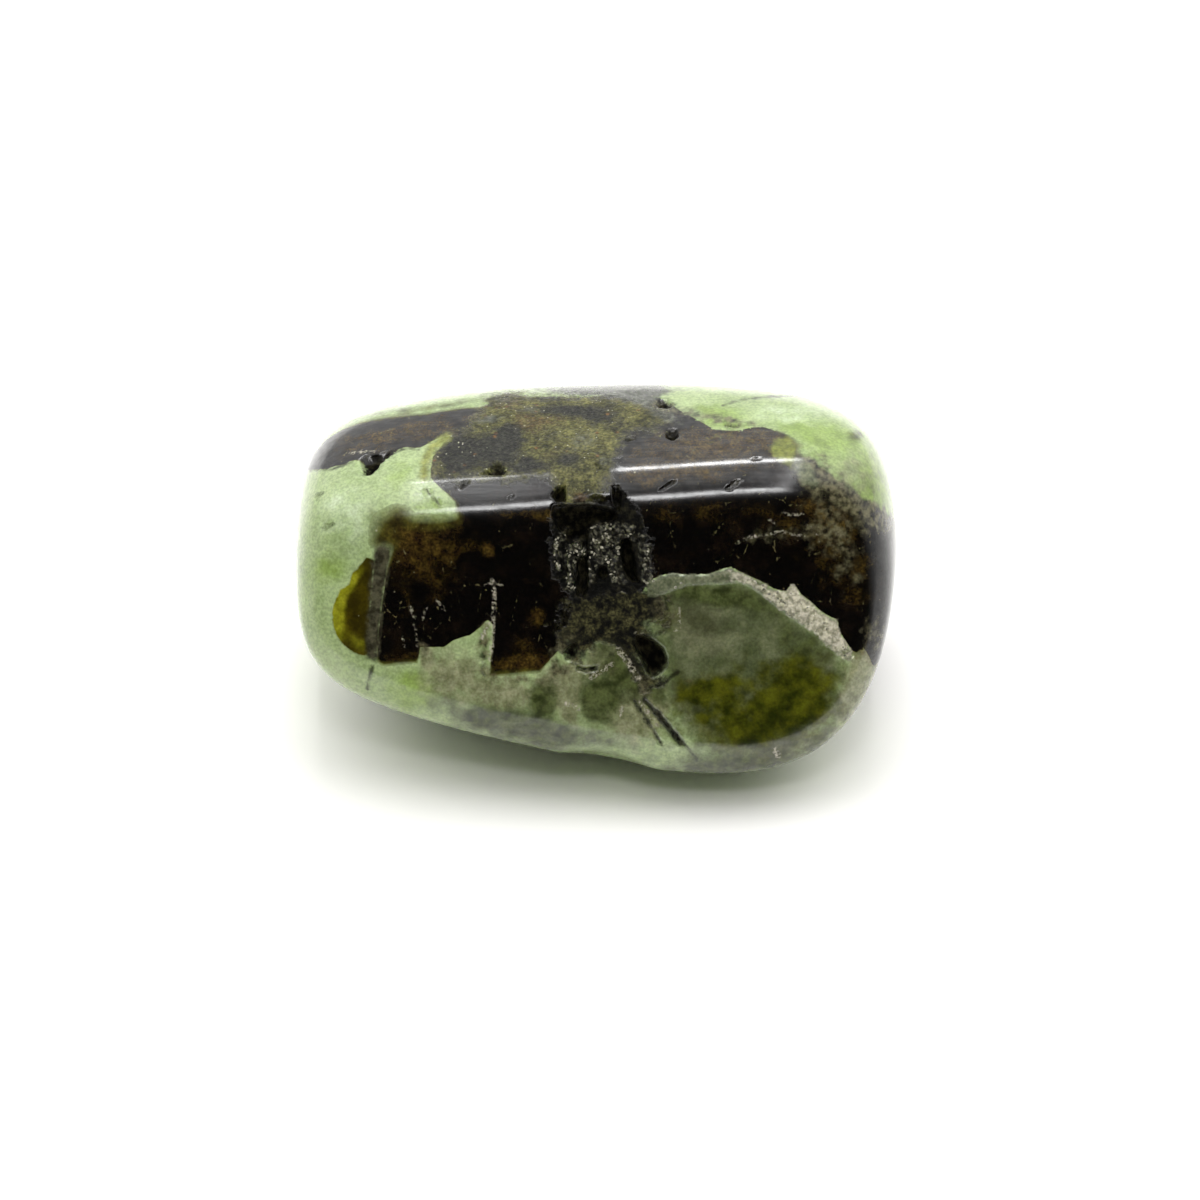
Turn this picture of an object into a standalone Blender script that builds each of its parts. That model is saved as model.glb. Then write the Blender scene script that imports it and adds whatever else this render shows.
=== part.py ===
"""A tumbled stone, 30 mm long: dark amphibole in pale green prehnite.

One solid body, worn round in the tumbler, with a shallow dish, a pitted
crevice and a flat spot on which it rests. +X runs along its length, -Y is
its front face and +Z is up. The origin is on the surface it rests on, under
the middle of its box.
"""

import math

import bmesh
import bpy
import numpy as np
from mathutils import Vector, noise

# Worn facets: the compass bearing and the tilt of each outward normal, in
# degrees, and how far the facet lies from the stone's middle, in millimetres.
# Bearing 0 is the front, 90 the right end, 180 the back and 270 the left end.
FACETS = {
    "top": (270, 87, 8.0),
    "underside": (0, -90, 7.8),
    "front face": (0, 30, 6.2),
    "front keel": (10, -45, 11.4),
    "front keel, left": (338, -50, 8.9),
    "back": (180, 0, 9.9),
    "upper back": (180, 50, 10.2),
    "upper back, left": (205, 45, 12.6),
    "upper back, right": (150, 45, 13.5),
    "back keel": (180, -40, 9.6),
    "left end": (270, 5, 15.5),
    "left keel": (270, -35, 14.4),
    "left keel, front": (290, -45, 13.2),
    "left shoulder": (245, 40, 16.6),
    "left shoulder, front": (315, 30, 14.8),
    "right end": (90, 5, 15.6),
    "right keel": (90, -35, 13.5),
    "right keel, front": (60, -40, 14.8),
    "right shoulder": (115, 35, 17.3),
    "right shoulder, front": (45, 30, 13.9),
}
EDGE_SHARPNESS = 9          # 2 would be an egg, 30 a cut gem
REST_CUT = 0.06             # depth of the flat spot, millimetres

# Marks on the surface are placed on a plane through the stone's middle that
# faces an eye 40 degrees above the front. U runs right and V runs up on it,
# in millimetres.
EYE_TILT = math.radians(40)
EYE_DISTANCE = 300.0
SEAM = (-0.30, 0.05)        # a mark fades between these slopes at the outline

# Middle U, V, half sizes, turn in degrees (anticlockwise), depth.
DISH = dict(middle=(7.9, -4.6), half=(5.5, 4.3), turn=-24, depth=0.20, edge=0.9)
CREVICE = dict(middle=(0.15, 1.4), half=(2.6, 2.9), turn=0, depth=0.40, edge=0.5)
CREVICE_RIBS = dict(height=0.6, width=0.45, length=1.8)
SOCKETS = (
    dict(middle=(-1.85, 4.2), half=(0.42, 0.60), turn=10, depth=0.50, edge=0.5),
    dict(middle=(1.05, 3.95), half=(0.30, 0.75), turn=0, depth=0.45, edge=0.5),
    dict(middle=(-0.60, 3.05), half=(1.75, 0.70), turn=-3, depth=0.45, edge=0.4),
    dict(middle=(1.70, 0.80), half=(0.36, 1.15), turn=-8, depth=0.55, edge=0.5),
    dict(middle=(-0.75, 0.00), half=(0.32, 1.15), turn=0, depth=0.35, edge=0.5),
    dict(middle=(2.75, -3.95), half=(0.75, 1.35), turn=30, depth=0.60, edge=0.5),
    dict(middle=(-1.30, -3.75), half=(0.40, 0.55), turn=-20, depth=0.30, edge=0.6),
)
NEEDLE_GROOVE = dict(start=(2.9, -6.6), end=(4.25, -8.3), width=0.40, depth=0.18)
KEEL_NOTCH = dict(middle=(0.5, -9.6), half=(2.9, 1.5), turn=-14, depth=0.42, edge=0.8)

# Small round pits on the face the eye sees: U, V, radius, depth.
PITS = (
    (-11.2, 5.75, 0.62, 0.45),
    (-5.0, 5.5, 0.40, 0.28),
    (-6.7, 4.6, 0.26, 0.14),
    (3.6, 4.6, 0.30, 0.14),
    (6.9, 4.6, 0.30, 0.14),
    (3.8, 7.1, 0.36, 0.30),
    (3.4, 8.7, 0.38, 0.20),
    (-2.6, 8.1, 0.36, 0.18),
    (-4.2, 7.9, 0.28, 0.14),
)
# The same on the far side, clear of the flat spot: U, V, radius, depth.
FAR_PITS = (
    (-4.6, 6.2, 0.55, 0.34),
    (6.8, 3.4, 0.40, 0.30),
    (-9.8, -0.8, 0.34, 0.26),
    (0.6, 0.4, 0.60, 0.30),
    (10.6, -1.2, 0.26, 0.22),
)
FAR_FLAKE = dict(middle=(-6.6, 2.6), half=(4.6, 2.9), turn=28, depth=0.26, edge=0.3)
FAR_CREASE = dict(start=(1.6, 8.2), end=(4.3, -0.9), width=0.6, depth=0.24)

# Slow swells left by the tumbling, which die out underneath, and the grain of
# the rough patches.
SWELL = dict(height=0.07, size=5.5)
UNDERSIDE = (0.55, 0.9)     # how far down a normal points where the swells die out
GRAIN = dict(height=0.10, size=0.75)
ROUGH_TOP = dict(middle=(-0.6, 7.4), half=(4.4, 2.2), turn=4, depth=1.0, edge=0.6)

GRID_CUTS = 109             # the blank is a cube cut into 110 x 110 squares a side
TRIANGLES = 9300
STONE = "tumbled_stone"


def facet_normal(bearing, tilt):
    """Outward unit normal of a facet from its bearing and tilt in degrees."""
    b = math.radians(bearing)
    t = math.radians(tilt)
    return np.array([math.sin(b) * math.cos(t), -math.cos(b) * math.cos(t), math.sin(t)])


def worn_surface(directions):
    """Points in millimetres where the worn facets meet each direction, and normals."""
    total = np.zeros(len(directions))
    slope = np.zeros_like(directions)
    for bearing, tilt, distance in FACETS.values():
        normal = facet_normal(bearing, tilt)
        reach = np.clip(directions @ normal, 0.0, None)
        total += (reach / distance) ** EDGE_SHARPNESS
        pull = reach ** (EDGE_SHARPNESS - 1) / distance**EDGE_SHARPNESS
        slope += pull[:, None] * normal
    points = directions * (total ** (-1.0 / EDGE_SHARPNESS))[:, None]
    return points, slope / np.linalg.norm(slope, axis=1, keepdims=True)


def seen_from_eye(points, normals):
    """U, V of each point, and how far its surface turns to the eye, 1 to -1."""
    up = np.array([0.0, math.sin(EYE_TILT), math.cos(EYE_TILT)])
    away = np.array([0.0, math.cos(EYE_TILT), -math.sin(EYE_TILT)])
    scale = EYE_DISTANCE / (EYE_DISTANCE + points @ away)
    to_eye = -EYE_DISTANCE * away - points
    to_eye /= np.linalg.norm(to_eye, axis=1, keepdims=True)
    facing = (normals * to_eye).sum(axis=1)
    return points[:, 0] * scale, (points @ up) * scale, facing


def smooth_step(value, low, high):
    """0 below low, 1 above high, and a smooth rise between them."""
    t = np.clip((value - low) / (high - low), 0.0, 1.0)
    return t * t * (3.0 - 2.0 * t)


def hollow(u, v, middle, half, turn, depth, edge):
    """Depth of a turned oval hollow whose wall takes the outer share `edge` of it."""
    c = math.cos(math.radians(turn))
    s = math.sin(math.radians(turn))
    du = u - middle[0]
    dv = v - middle[1]
    along = (du * c + dv * s) / half[0]
    across = (dv * c - du * s) / half[1]
    return depth * (1.0 - smooth_step(np.hypot(along, across), 1.0 - edge, 1.0))


def groove(u, v, start, end, width, depth):
    """Depth of a straight groove with round ends."""
    run = np.subtract(end, start)
    share = ((u - start[0]) * run[0] + (v - start[1]) * run[1]) / (run @ run)
    share = np.clip(share, 0.0, 1.0)
    off = np.hypot(u - start[0] - share * run[0], v - start[1] - share * run[1])
    return depth * (1.0 - smooth_step(off, 0.3 * width, width))


def noise_field(points, size, offset):
    """Smooth noise between about -1 and 1 at points, with lumps of the given size."""
    stretched = np.asarray(points) / np.asarray(size) + offset
    return np.array([noise.noise(Vector(p)) for p in stretched])


def near_relief(points, u, v):
    """How far the surface the eye sees lies below the worn shape."""
    depth = hollow(u, v, **DISH)
    ribs = noise_field(
        np.stack([u, v, points[:, 1] * 0.2], axis=1),
        (CREVICE_RIBS["width"], CREVICE_RIBS["length"], 1.0),
        4.7,
    )
    in_crevice = hollow(u, v, **CREVICE)
    depth += in_crevice * (1.0 + CREVICE_RIBS["height"] * ribs)
    for socket in SOCKETS:
        depth += hollow(u, v, **socket)
    depth += groove(u, v, **NEEDLE_GROOVE)
    depth += hollow(u, v, **KEEL_NOTCH)
    for middle_u, middle_v, radius, pit_depth in PITS:
        depth += hollow(u, v, (middle_u, middle_v), (radius, radius), 0, pit_depth, 0.8)
    grain = noise_field(points, GRAIN["size"], 11.3)
    depth += GRAIN["height"] * grain * hollow(u, v, **ROUGH_TOP)
    return depth


def far_relief(u, v):
    """How far the surface turned from the eye lies below the worn shape."""
    depth = hollow(u, v, **FAR_FLAKE)
    depth += groove(u, v, **FAR_CREASE)
    for middle_u, middle_v, radius, pit_depth in FAR_PITS:
        depth += hollow(u, v, (middle_u, middle_v), (radius, radius), 0, pit_depth, 0.8)
    return depth


def stone_points(directions):
    """The stone's surface in millimetres, with its hollows, ribs and swells."""
    points, normals = worn_surface(directions)
    u, v, facing = seen_from_eye(points, normals)
    near = smooth_step(facing, *SEAM)
    depth = near * near_relief(points, u, v) + (1.0 - near) * far_relief(u, v)
    swell = SWELL["height"] * noise_field(points, SWELL["size"], 2.1)
    depth -= swell * (1.0 - smooth_step(-normals[:, 2], *UNDERSIDE))
    return points - normals * depth[:, None]


def cut_flat_spot(mesh):
    """Cut the lowest part off level, and close the cut with one flat face."""
    bm = bmesh.new()
    bm.from_mesh(mesh)
    level = min(vertex.co.z for vertex in bm.verts) + REST_CUT * 0.001
    cut = bmesh.ops.bisect_plane(
        bm,
        geom=bm.verts[:] + bm.edges[:] + bm.faces[:],
        dist=1e-7,
        plane_co=(0.0, 0.0, level),
        plane_no=(0.0, 0.0, 1.0),
        clear_inner=True,
    )
    rim = [item for item in cut["geom_cut"] if isinstance(item, bmesh.types.BMEdge)]
    bmesh.ops.edgeloop_fill(bm, edges=rim)
    bmesh.ops.recalc_face_normals(bm, faces=bm.faces[:])
    bm.to_mesh(mesh)
    bm.free()


def stand_on_origin(mesh):
    """Move the mesh so that the origin is under the middle of its box."""
    corners = np.array([vertex.co for vertex in mesh.vertices])
    low = corners.min(axis=0)
    high = corners.max(axis=0)
    middle = (low + high) / 2.0
    for vertex in mesh.vertices:
        vertex.co -= Vector((middle[0], middle[1], low[2]))


def stone_material():
    """Dark polished amphibole with the green of the prehnite showing in it."""
    material = bpy.data.materials.new("dark_green_stone")
    material.use_nodes = True
    shader = material.node_tree.nodes["Principled BSDF"]
    shader.inputs["Base Color"].default_value = (0.10, 0.13, 0.055, 1.0)
    shader.inputs["Roughness"].default_value = 0.18
    shader.inputs["Metallic"].default_value = 0.0
    return material


def build_stone(collection):
    """Wear a cube down to the stone, thin its mesh and cut the flat spot."""
    bm = bmesh.new()
    bmesh.ops.create_cube(bm, size=2.0)
    bmesh.ops.subdivide_edges(bm, edges=bm.edges[:], cuts=GRID_CUTS, use_grid_fill=True)
    cube = np.array([vertex.co for vertex in bm.verts])
    spread = np.tan(cube * math.pi / 4)
    directions = spread / np.linalg.norm(spread, axis=1, keepdims=True)
    for vertex, point in zip(bm.verts, stone_points(directions) * 0.001):
        vertex.co = point
    mesh = bpy.data.meshes.new(STONE)
    bm.to_mesh(mesh)
    bm.free()

    stone = bpy.data.objects.new(STONE, mesh)
    collection.objects.link(stone)
    thin = stone.modifiers.new("thin", "DECIMATE")
    thin.ratio = TRIANGLES / (12.0 * (GRID_CUTS + 1) ** 2)
    thin.use_collapse_triangulate = True
    depsgraph = bpy.context.evaluated_depsgraph_get()
    thinned = bpy.data.meshes.new_from_object(stone.evaluated_get(depsgraph))
    stone.modifiers.clear()
    stone.data = thinned
    bpy.data.meshes.remove(mesh)
    thinned.name = STONE

    cut_flat_spot(thinned)
    stand_on_origin(thinned)
    thinned.materials.append(stone_material())
    thinned.shade_smooth()
    thinned.set_sharp_from_angle(angle=math.radians(50))
    return stone


def main():
    for item in list(bpy.data.objects):
        bpy.data.objects.remove(item)
    collection = bpy.data.collections.new("amphibole_tumbled_stone")
    bpy.context.scene.collection.children.link(collection)
    build_stone(collection)


main()
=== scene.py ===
"""A tumbled stone of dark amphibole in pale green prehnite, in studio light."""

import math

import bmesh
import bpy
import numpy as np
from mathutils import Matrix, Vector, noise


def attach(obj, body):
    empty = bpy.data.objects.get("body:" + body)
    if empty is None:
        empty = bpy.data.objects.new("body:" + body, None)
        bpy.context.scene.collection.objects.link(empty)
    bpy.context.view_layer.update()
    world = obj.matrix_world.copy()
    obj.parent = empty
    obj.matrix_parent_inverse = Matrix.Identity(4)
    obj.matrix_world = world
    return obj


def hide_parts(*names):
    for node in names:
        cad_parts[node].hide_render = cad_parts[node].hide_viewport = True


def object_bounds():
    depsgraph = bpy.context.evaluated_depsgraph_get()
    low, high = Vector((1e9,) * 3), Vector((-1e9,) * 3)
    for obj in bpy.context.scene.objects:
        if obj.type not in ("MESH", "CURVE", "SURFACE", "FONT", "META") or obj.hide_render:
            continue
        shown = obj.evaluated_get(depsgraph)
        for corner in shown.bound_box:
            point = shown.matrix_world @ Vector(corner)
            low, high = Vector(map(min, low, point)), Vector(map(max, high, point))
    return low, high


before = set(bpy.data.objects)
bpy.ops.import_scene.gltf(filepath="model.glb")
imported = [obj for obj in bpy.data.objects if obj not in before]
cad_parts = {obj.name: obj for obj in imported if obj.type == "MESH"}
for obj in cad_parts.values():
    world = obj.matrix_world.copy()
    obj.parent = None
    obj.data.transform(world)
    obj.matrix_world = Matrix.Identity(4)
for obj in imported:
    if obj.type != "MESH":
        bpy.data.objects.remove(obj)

CAD_LOW, CAD_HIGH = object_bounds()
NODE = "tumbled_stone"
MM = 0.001

# Worn facets: bearing and tilt of the outward normal in degrees, and distance
# from the stone's middle in millimetres. Bearing 0 is the front, 90 the right.
FACETS = {
    "top": (270, 87, 8.0),
    "underside": (0, -90, 7.8),
    "front face": (0, 30, 6.2),
    "front keel": (10, -45, 11.4),
    "front keel, left": (338, -50, 8.9),
    "back": (180, 0, 9.9),
    "upper back": (180, 50, 10.2),
    "upper back, left": (205, 45, 12.6),
    "upper back, right": (150, 45, 13.5),
    "back keel": (180, -40, 9.6),
    "left end": (270, 5, 15.5),
    "left keel": (270, -35, 14.4),
    "left keel, front": (290, -45, 13.2),
    "left shoulder": (245, 40, 16.6),
    "left shoulder, front": (315, 30, 14.8),
    "right end": (90, 5, 15.6),
    "right keel": (90, -35, 13.5),
    "right keel, front": (60, -40, 14.8),
    "right shoulder": (115, 35, 17.3),
    "right shoulder, front": (45, 30, 13.9),
}
EDGE_SHARPNESS = 9
REST_CUT = 0.06             # how deep the flat resting spot is cut
GRID_CUTS = 119             # a cube cut into 120 x 120 squares a side
DETAIL_LEAN = 0.35          # how far the squares crowd towards the eye

# Marks are placed on a plane through the stone's middle that faces an eye 40
# degrees above the front: U runs right and V up, in millimetres. A mark on the
# far side is placed on the same plane, seen through the stone.
EYE_TILT = math.radians(40)
EYE_DISTANCE = 300.0
EYE_UP = np.array([0.0, math.sin(EYE_TILT), math.cos(EYE_TILT)])
EYE_AWAY = np.array([0.0, math.cos(EYE_TILT), -math.sin(EYE_TILT)])
SEAM = (-0.30, 0.05)        # how far the surface faces the eye where the sides meet

# Hollows: middle U, V, half sizes, turn, depth, share of it that is wall.
DISH = dict(middle=(7.9, -4.6), half=(5.5, 4.3), turn=-24, depth=0.20, edge=0.9)
CREVICE = dict(middle=(0.15, 1.4), half=(2.6, 2.9), turn=0, depth=0.40, edge=0.5)
KEEL_NOTCH = dict(middle=(0.5, -9.6), half=(2.9, 1.5), turn=-14, depth=0.42, edge=0.8)
FAR_FLAKE = dict(middle=(-6.6, 2.6), half=(4.6, 2.9), turn=28, depth=0.26, edge=0.3)
FAR_CREASE = dict(start=(1.6, 8.2), end=(4.3, -0.9), width=0.6, depth=0.24)
# Unevenness: height, size of its lumps, and where in the noise it starts.
CREVICE_RIBS = dict(height=0.6, size=(0.45, 1.8, 1.0), slant=0.2, start=4.7)
SWELL = dict(height=0.07, size=5.5, start=2.1)
UNDERSIDE = (0.55, 0.9)     # how far down a normal points where the swell dies out
RIM_HEIGHT = 0.08           # how far the rim of the lens stands up
RIM_STEP = (-0.1, 0.2)      # from where to where inside its outline it rises
POCKET_LIP = -0.05          # where a pocket's wall starts, outside its outline
GROOVE_FLOOR = 0.3          # share of a groove's half width that is its flat floor

# Stretches of edge that two outlines share.
BACK_EDGE = (
    (-5.45, 8.7), (-5.6, 8.9), (-5.1, 9.1), (-4.3, 9.3), (-3.8, 9.15), (-3.3, 9.05), (-2.3, 9.1),
    (-1.05, 9.05), (0.15, 9.15),
)
GREEN_CORNER = (
    (-8.3, 5), (-8.3, 5.4), (-8.2, 6.05), (-7.8, 6.55),
)
RIM_EDGE = (
    (2.6, -0.2), (3.15, 0.05), (3.8, 0.2), (4.65, 0.1), (5.65, 0.15), (6.3, 0.4), (6.7, 0.5),
    (7.4, 0.15), (8.2, -0.2), (8.9, -0.6), (9.5, -0.75), (9.7, -0.35), (10, -0.5), (10.2, -0.85),
    (10.55, -1.1), (11.2, -1.7), (11.7, -2), (12.05, -2.1), (12.05, -2.6), (12.7, -3.6),
)
LENS_EDGE = (
    (2.9, -1), (3.6, -0.7), (4.4, -0.4), (5.4, -0.3), (6.4, -0.3), (7.1, -0.2), (7.7, -0.45),
    (8.4, -0.95), (9.2, -1.6), (9.9, -2.1), (10.7, -2.6), (11.2, -3.1), (11.9, -3.7),
)

# Outlines of what the polish shows, U and V in millimetres.
OUTLINES = {
    "amphibole": (
        # the dark layer along the top, from the left end to the right end
        (-14.8, 5.3), (-14.5, 5.8), (-14.2, 6.15), (-13.55, 6.9), (-12.8, 7.4), (-11.8, 7.85),
        (-10.8, 8.1), (-9.8, 8.25), (-8.8, 8.25), (-7.8, 8.4), (-6.8, 8.55), (-5.8, 8.55),
        *BACK_EDGE, (0.9, 9.3), (1.7, 9.1), (2.4, 9), (3.3, 9), (3.6, 8.8), (4.1, 8.4), (4.65, 8.1),
        (5.4, 7.7), (5.9, 7.4), (6.6, 7.35), (7.1, 7.35), (7.7, 7.5), (8.3, 7.55), (8.9, 7.4),
        (9.45, 7.25), (9.9, 7), (10.3, 6.65), (10.2, 6.3), (10.55, 6), (10.9, 5.8), (11.2, 5.15),
        (11.4, 4.65), (11.95, 4.5), (12.4, 4.2), (12.7, 3.9), (13.3, 3.5), (13.9, 3.2),
        (14.55, 2.9), (15.2, 2.6), (15.9, -1.1), (15.2, -3.1), (14.4, -3.85), (13.8, -4.5),
        # back along the top of the lens
        (13.55, -3.85), (13.3, -3.5), (12.9, -3.85), *RIM_EDGE[::-1], (2.4, -0.6), (2.15, -0.95),
        (1.4, -1), (0.4, -1.1), (-0.4, -1.65), (-1.2, -2.5),
        # the two crystals that end square on the front face
        (-1.5, -3.25), (-1.9, -3.65), (-2.5, -4.35), (-2.75, -4.75), (-4.1, -4.9), (-5.4, -4.95),
        (-5.3, -4.1), (-5.2, -3.1), (-5.2, -2.35), (-5.45, -2.15), (-5.8, -2.5), (-6.3, -2.9),
        (-6.7, -3), (-7.2, -3.2), (-7.6, -3.5), (-8.3, -3.5), (-8.8, -3.5), (-8.9, -4.3),
        (-9.55, -4.35), (-10.05, -4.4), (-10.6, -4.45), (-11, -4.25), (-10.9, -2.6), (-10.7, -1.1),
        (-10.5, 0.4), (-10.3, 1.4), (-10.9, 1.35), (-11.4, 1.5), (-11.4, 2.4), (-11.3, 3),
        (-11.05, 3.25), (-10.55, 3.55), (-10.05, 3.75), (-9.55, 3.65), (-9.05, 3.25), (-7.8, 3.15),
        # round the green corner at the left
        (-7.1, 3.15), (-7.1, 3.75), (-7.5, 4.2), (-7.95, 4.6), *GREEN_CORNER, (-7.45, 7.05),
        (-7.8, 7), (-8.2, 6.8), (-8.55, 6.6), (-8.9, 6.45), (-9.55, 6.5), (-9.9, 6.4), (-10.55, 6),
        (-11, 5.8), (-11.8, 5.85), (-12.2, 5.85), (-12.55, 5.65), (-13.05, 5.55), (-13.55, 5.4),
        (-14.2, 5.4),
    ),
    "strip": (
        (-10.95, 1.55), (-10.3, 1.45), (-10.55, 0.15), (-10.8, -1.35), (-10.9, -2.85),
        (-11.05, -4.1), (-11.4, -3.95), (-11.4, -2.85), (-11.3, -1.35), (-11.2, -0.1), (-11.1, 0.8),
    ),
    "wing": (
        (-11.5, 1), (-12.2, 0.2), (-12.4, -0.35), (-12.8, -0.6), (-13.05, -1.1), (-13.2, -1.7),
        (-13.2, -2.2), (-13.05, -2.75), (-12.7, -3.35), (-12.2, -3.7), (-11.7, -3.9),
        (-11.4, -3.95), (-11.3, -2.85), (-11.3, -1.35), (-11.2, -0.1), (-11.1, 0.9),
    ),
    "rough": (
        *GREEN_CORNER, (-7.3, 7.05), (-6.3, 7.65), *BACK_EDGE, (0.9, 9), (2.15, 8.8), (3.15, 8.3),
        (3.6, 7.9), (2.9, 7.5), (1.9, 7.3), (1.25, 6.65), (1, 5.9), (0.8, 5.4), (0.45, 4.8),
        (0.15, 4.2), (-0.2, 4.05), (-0.4, 3.75), (-1.5, 3.75), (-1.8, 4.3), (-2, 4.7), (-2.4, 5),
        (-3.8, 5.05), (-5.8, 5.1), (-7.3, 5),
    ),
    "rim": (
        *RIM_EDGE, (12.8, -4.2), (12.3, -4), *LENS_EDGE[::-1], (2.6, -0.9),
    ),
    "lens": (
        *LENS_EDGE, (12.3, -4.1), (12.1, -5.1), (11.8, -6.1), (11.2, -6.9), (10.5, -7.8),
        (9.5, -8.5), (8, -8.9), (6.4, -8.6), (5, -7.9), (4, -6.8), (3.4, -5.4), (3.6, -4.2),
        (3.3, -3.2), (2.9, -2.4),
    ),
    "crevice": (
        (-2.3, 3.2), (-1.5, 3.7), (-0.4, 3.75), (0.9, 3.6), (1.1, 4.4), (1.5, 4.2), (2, 3.4),
        (2.5, 2.4), (2.75, 0.9), (2.7, -0.2), (2.4, -0.6), (1.4, -0.9), (0.4, -1), (-0.6, -1.2),
        (-1.4, -0.9), (-2.1, 0.2), (-2.3, 1.5),
    ),
    "crumbs": (
        (-0.3, 2.4), (0.4, 2.5), (0.8, 2.65), (1.55, 2.65), (2, 2.1), (2, 1.8), (1.2, 1.9),
        (1.2, 1.1), (1.2, 0.4), (1.5, -0.3), (0.8, -0.25), (0.7, 0.1), (0.55, 0.6), (0.1, 0.6),
        (0, 0.2), (-0.3, -0.3), (-0.4, 0.9),
    ),
    "tongue": (
        (9.9, 6), (10.3, 5.8), (10.8, 5.6), (10.95, 5), (11.2, 4.6), (10.8, 4.5), (10.3, 4.7),
        (10, 5.2),
    ),
}
SMALL_LENSES = (
    (
        (-3.3, -6.1), (-3.15, -5.7), (-2.8, -5.3), (-2.4, -5.05), (-2, -5.3), (-2, -5.95),
        (-2.15, -6.6), (-2.6, -6.9), (-3.1, -6.7),
    ),
    (
        (1.1, -4.25), (0.8, -4.6), (0.4, -4.9), (0, -5.1), (-0.4, -5.4), (-0.7, -5.85),
        (-0.8, -6.4), (-0.7, -6.9), (-0.3, -7.2), (0.3, -7.25), (0.8, -7.05), (1.05, -6.5),
        (1.25, -5.85), (1.5, -5.4), (1.75, -5.25), (1.55, -4.7),
    ),
)
# Black pockets, their dark partly their own and partly painted shade in the hollow: outline, depth,
# and how far in from the outline the wall reaches.
POCKETS = {
    "by the lens": ((
        (1.9, -2.85), (2.4, -2.8), (2.9, -3.1), (3.4, -3.5), (3.6, -4), (3.6, -4.35), (3.4, -4.7),
        (3.1, -4.9), (2.75, -5.1), (2.5, -4.85), (2.3, -4.35), (2, -3.85), (1.75, -3.35),
    ), 0.6, 0.35),
    "left corner": ((
        (-11.8, 5.85), (-11.6, 5.1), (-11.2, 5.2), (-10.8, 5.75), (-10.5, 6), (-10, 6.35),
        (-10.6, 6.25), (-11, 6.15), (-11.4, 6.15),
    ), 0.45, 0.12),
    "crevice, right": ((
        (1.2, 1.85), (1.7, 1.85), (1.9, 0.9), (2, 0.15), (2.2, -0.25), (1.8, -0.3), (1.5, 0.15),
        (1.25, 0.9),
    ), 0.55, 0.15),
    "crevice, small": ((
        (0.15, 0.5), (0.5, 0.55), (0.6, 0), (0.3, -0.2), (0.1, 0.05),
    ), 0.35, 0.12),
    "crevice, left": ((
        (-1, 0.9), (-0.5, 1.1), (-0.4, -0.35), (-0.6, -1.1), (-1, -1), (-1, -0.1),
    ), 0.35, 0.15),
    "under the block": ((
        (-2.15, 3.65), (-1.5, 3.7), (-0.4, 3.7), (0.15, 3.55), (1, 3.3), (1.05, 2.9), (0.15, 2.6),
        (-0.4, 2.3), (-0.5, 0.9), (-0.8, 1.65), (-1.5, 1.9), (-2, 2.5), (-2.3, 3.15),
    ), 0.45, 0.15),
    "left of the block": ((
        (-2.25, 4.1), (-2, 4.5), (-1.6, 4.7), (-1.5, 4.3), (-1.5, 3.75), (-2, 3.75),
    ), 0.5, 0.2),
    "right of the block": ((
        (0.8, 4.55), (1.05, 4.6), (1.25, 4.15), (1.2, 3.3), (1, 3.3), (0.8, 3.9),
    ), 0.45, 0.15),
    "eye, left": ((
        (-1.7, -3.75), (-1.4, -3.4), (-1, -3.15), (-0.9, -3.4), (-1, -3.85), (-1.2, -4.2),
        (-1.55, -4.15),
    ), 0.3, 0.15),
    "eye, below": ((
        (-1.1, -4.3), (-0.7, -4.5), (-0.2, -4.45), (0.15, -4.4), (0, -4.65), (-0.55, -4.75),
        (-1, -4.65),
    ), 0.25, 0.1),
    "rough top, right": ((
        (3.4, 7.25), (3.65, 7.4), (4.1, 7.4), (4.1, 7.05), (3.8, 6.85), (3.5, 7),
    ), 0.3, 0.15),
    "rough top, high": ((
        (2.9, 8.7), (3.15, 8.9), (3.6, 8.9), (3.9, 8.6), (3.6, 8.45), (3.15, 8.5),
    ), 0.2, 0.12),
    "rough top, left": ((
        (-5.3, 5.55), (-5.1, 5.8), (-4.8, 5.75), (-4.5, 5.4), (-4.6, 5.15), (-5, 5.15), (-5.8, 5.2),
        (-5.5, 5.4),
    ), 0.28, 0.15),
    "wedge by the seam": ((
        (-5.75, -4.3), (-5.6, -4.1), (-5.55, -4.5), (-5.6, -4.9), (-5.75, -4.8),
    ), 0.12, 0.08),
}
# Nicks and strokes cut into the surface: start, end, half width, depth.
NICKS = (
    ((3.25, 4.4), (3.85, 4.8), 0.06, 0.14), ((6.6, 4.45), (7.1, 4.85), 0.07, 0.12),
    ((6.45, 7.62), (7.05, 7.52), 0.06, 0.08), ((-6.8, 4.5), (-6.5, 4.75), 0.08, 0.12),
    ((-13.55, 2.5), (-13.25, 2.65), 0.07, 0.12), ((-13.95, 4.05), (-13.8, 4.15), 0.05, 0.07),
    ((-4.4, 3.95), (-4.2, 4.1), 0.05, 0.08), ((7.85, 5.85), (8, 5.95), 0.05, 0.06),
    ((0, 5.65), (0.15, 5.5), 0.06, 0.1), ((1.55, 6.9), (1.9, 7), 0.11, 0.1),
    ((2.4, -6.1), (2.95, -6.7), 0.06, 0.1), ((2.95, -6.7), (4.25, -8.3), 0.14, 0.18),
    ((1.9, -6.2), (3.25, -8.35), 0.05, 0.06), ((-8.5, 4.4), (-7.85, 3.65), 0.05, 0.05),
)
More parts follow.
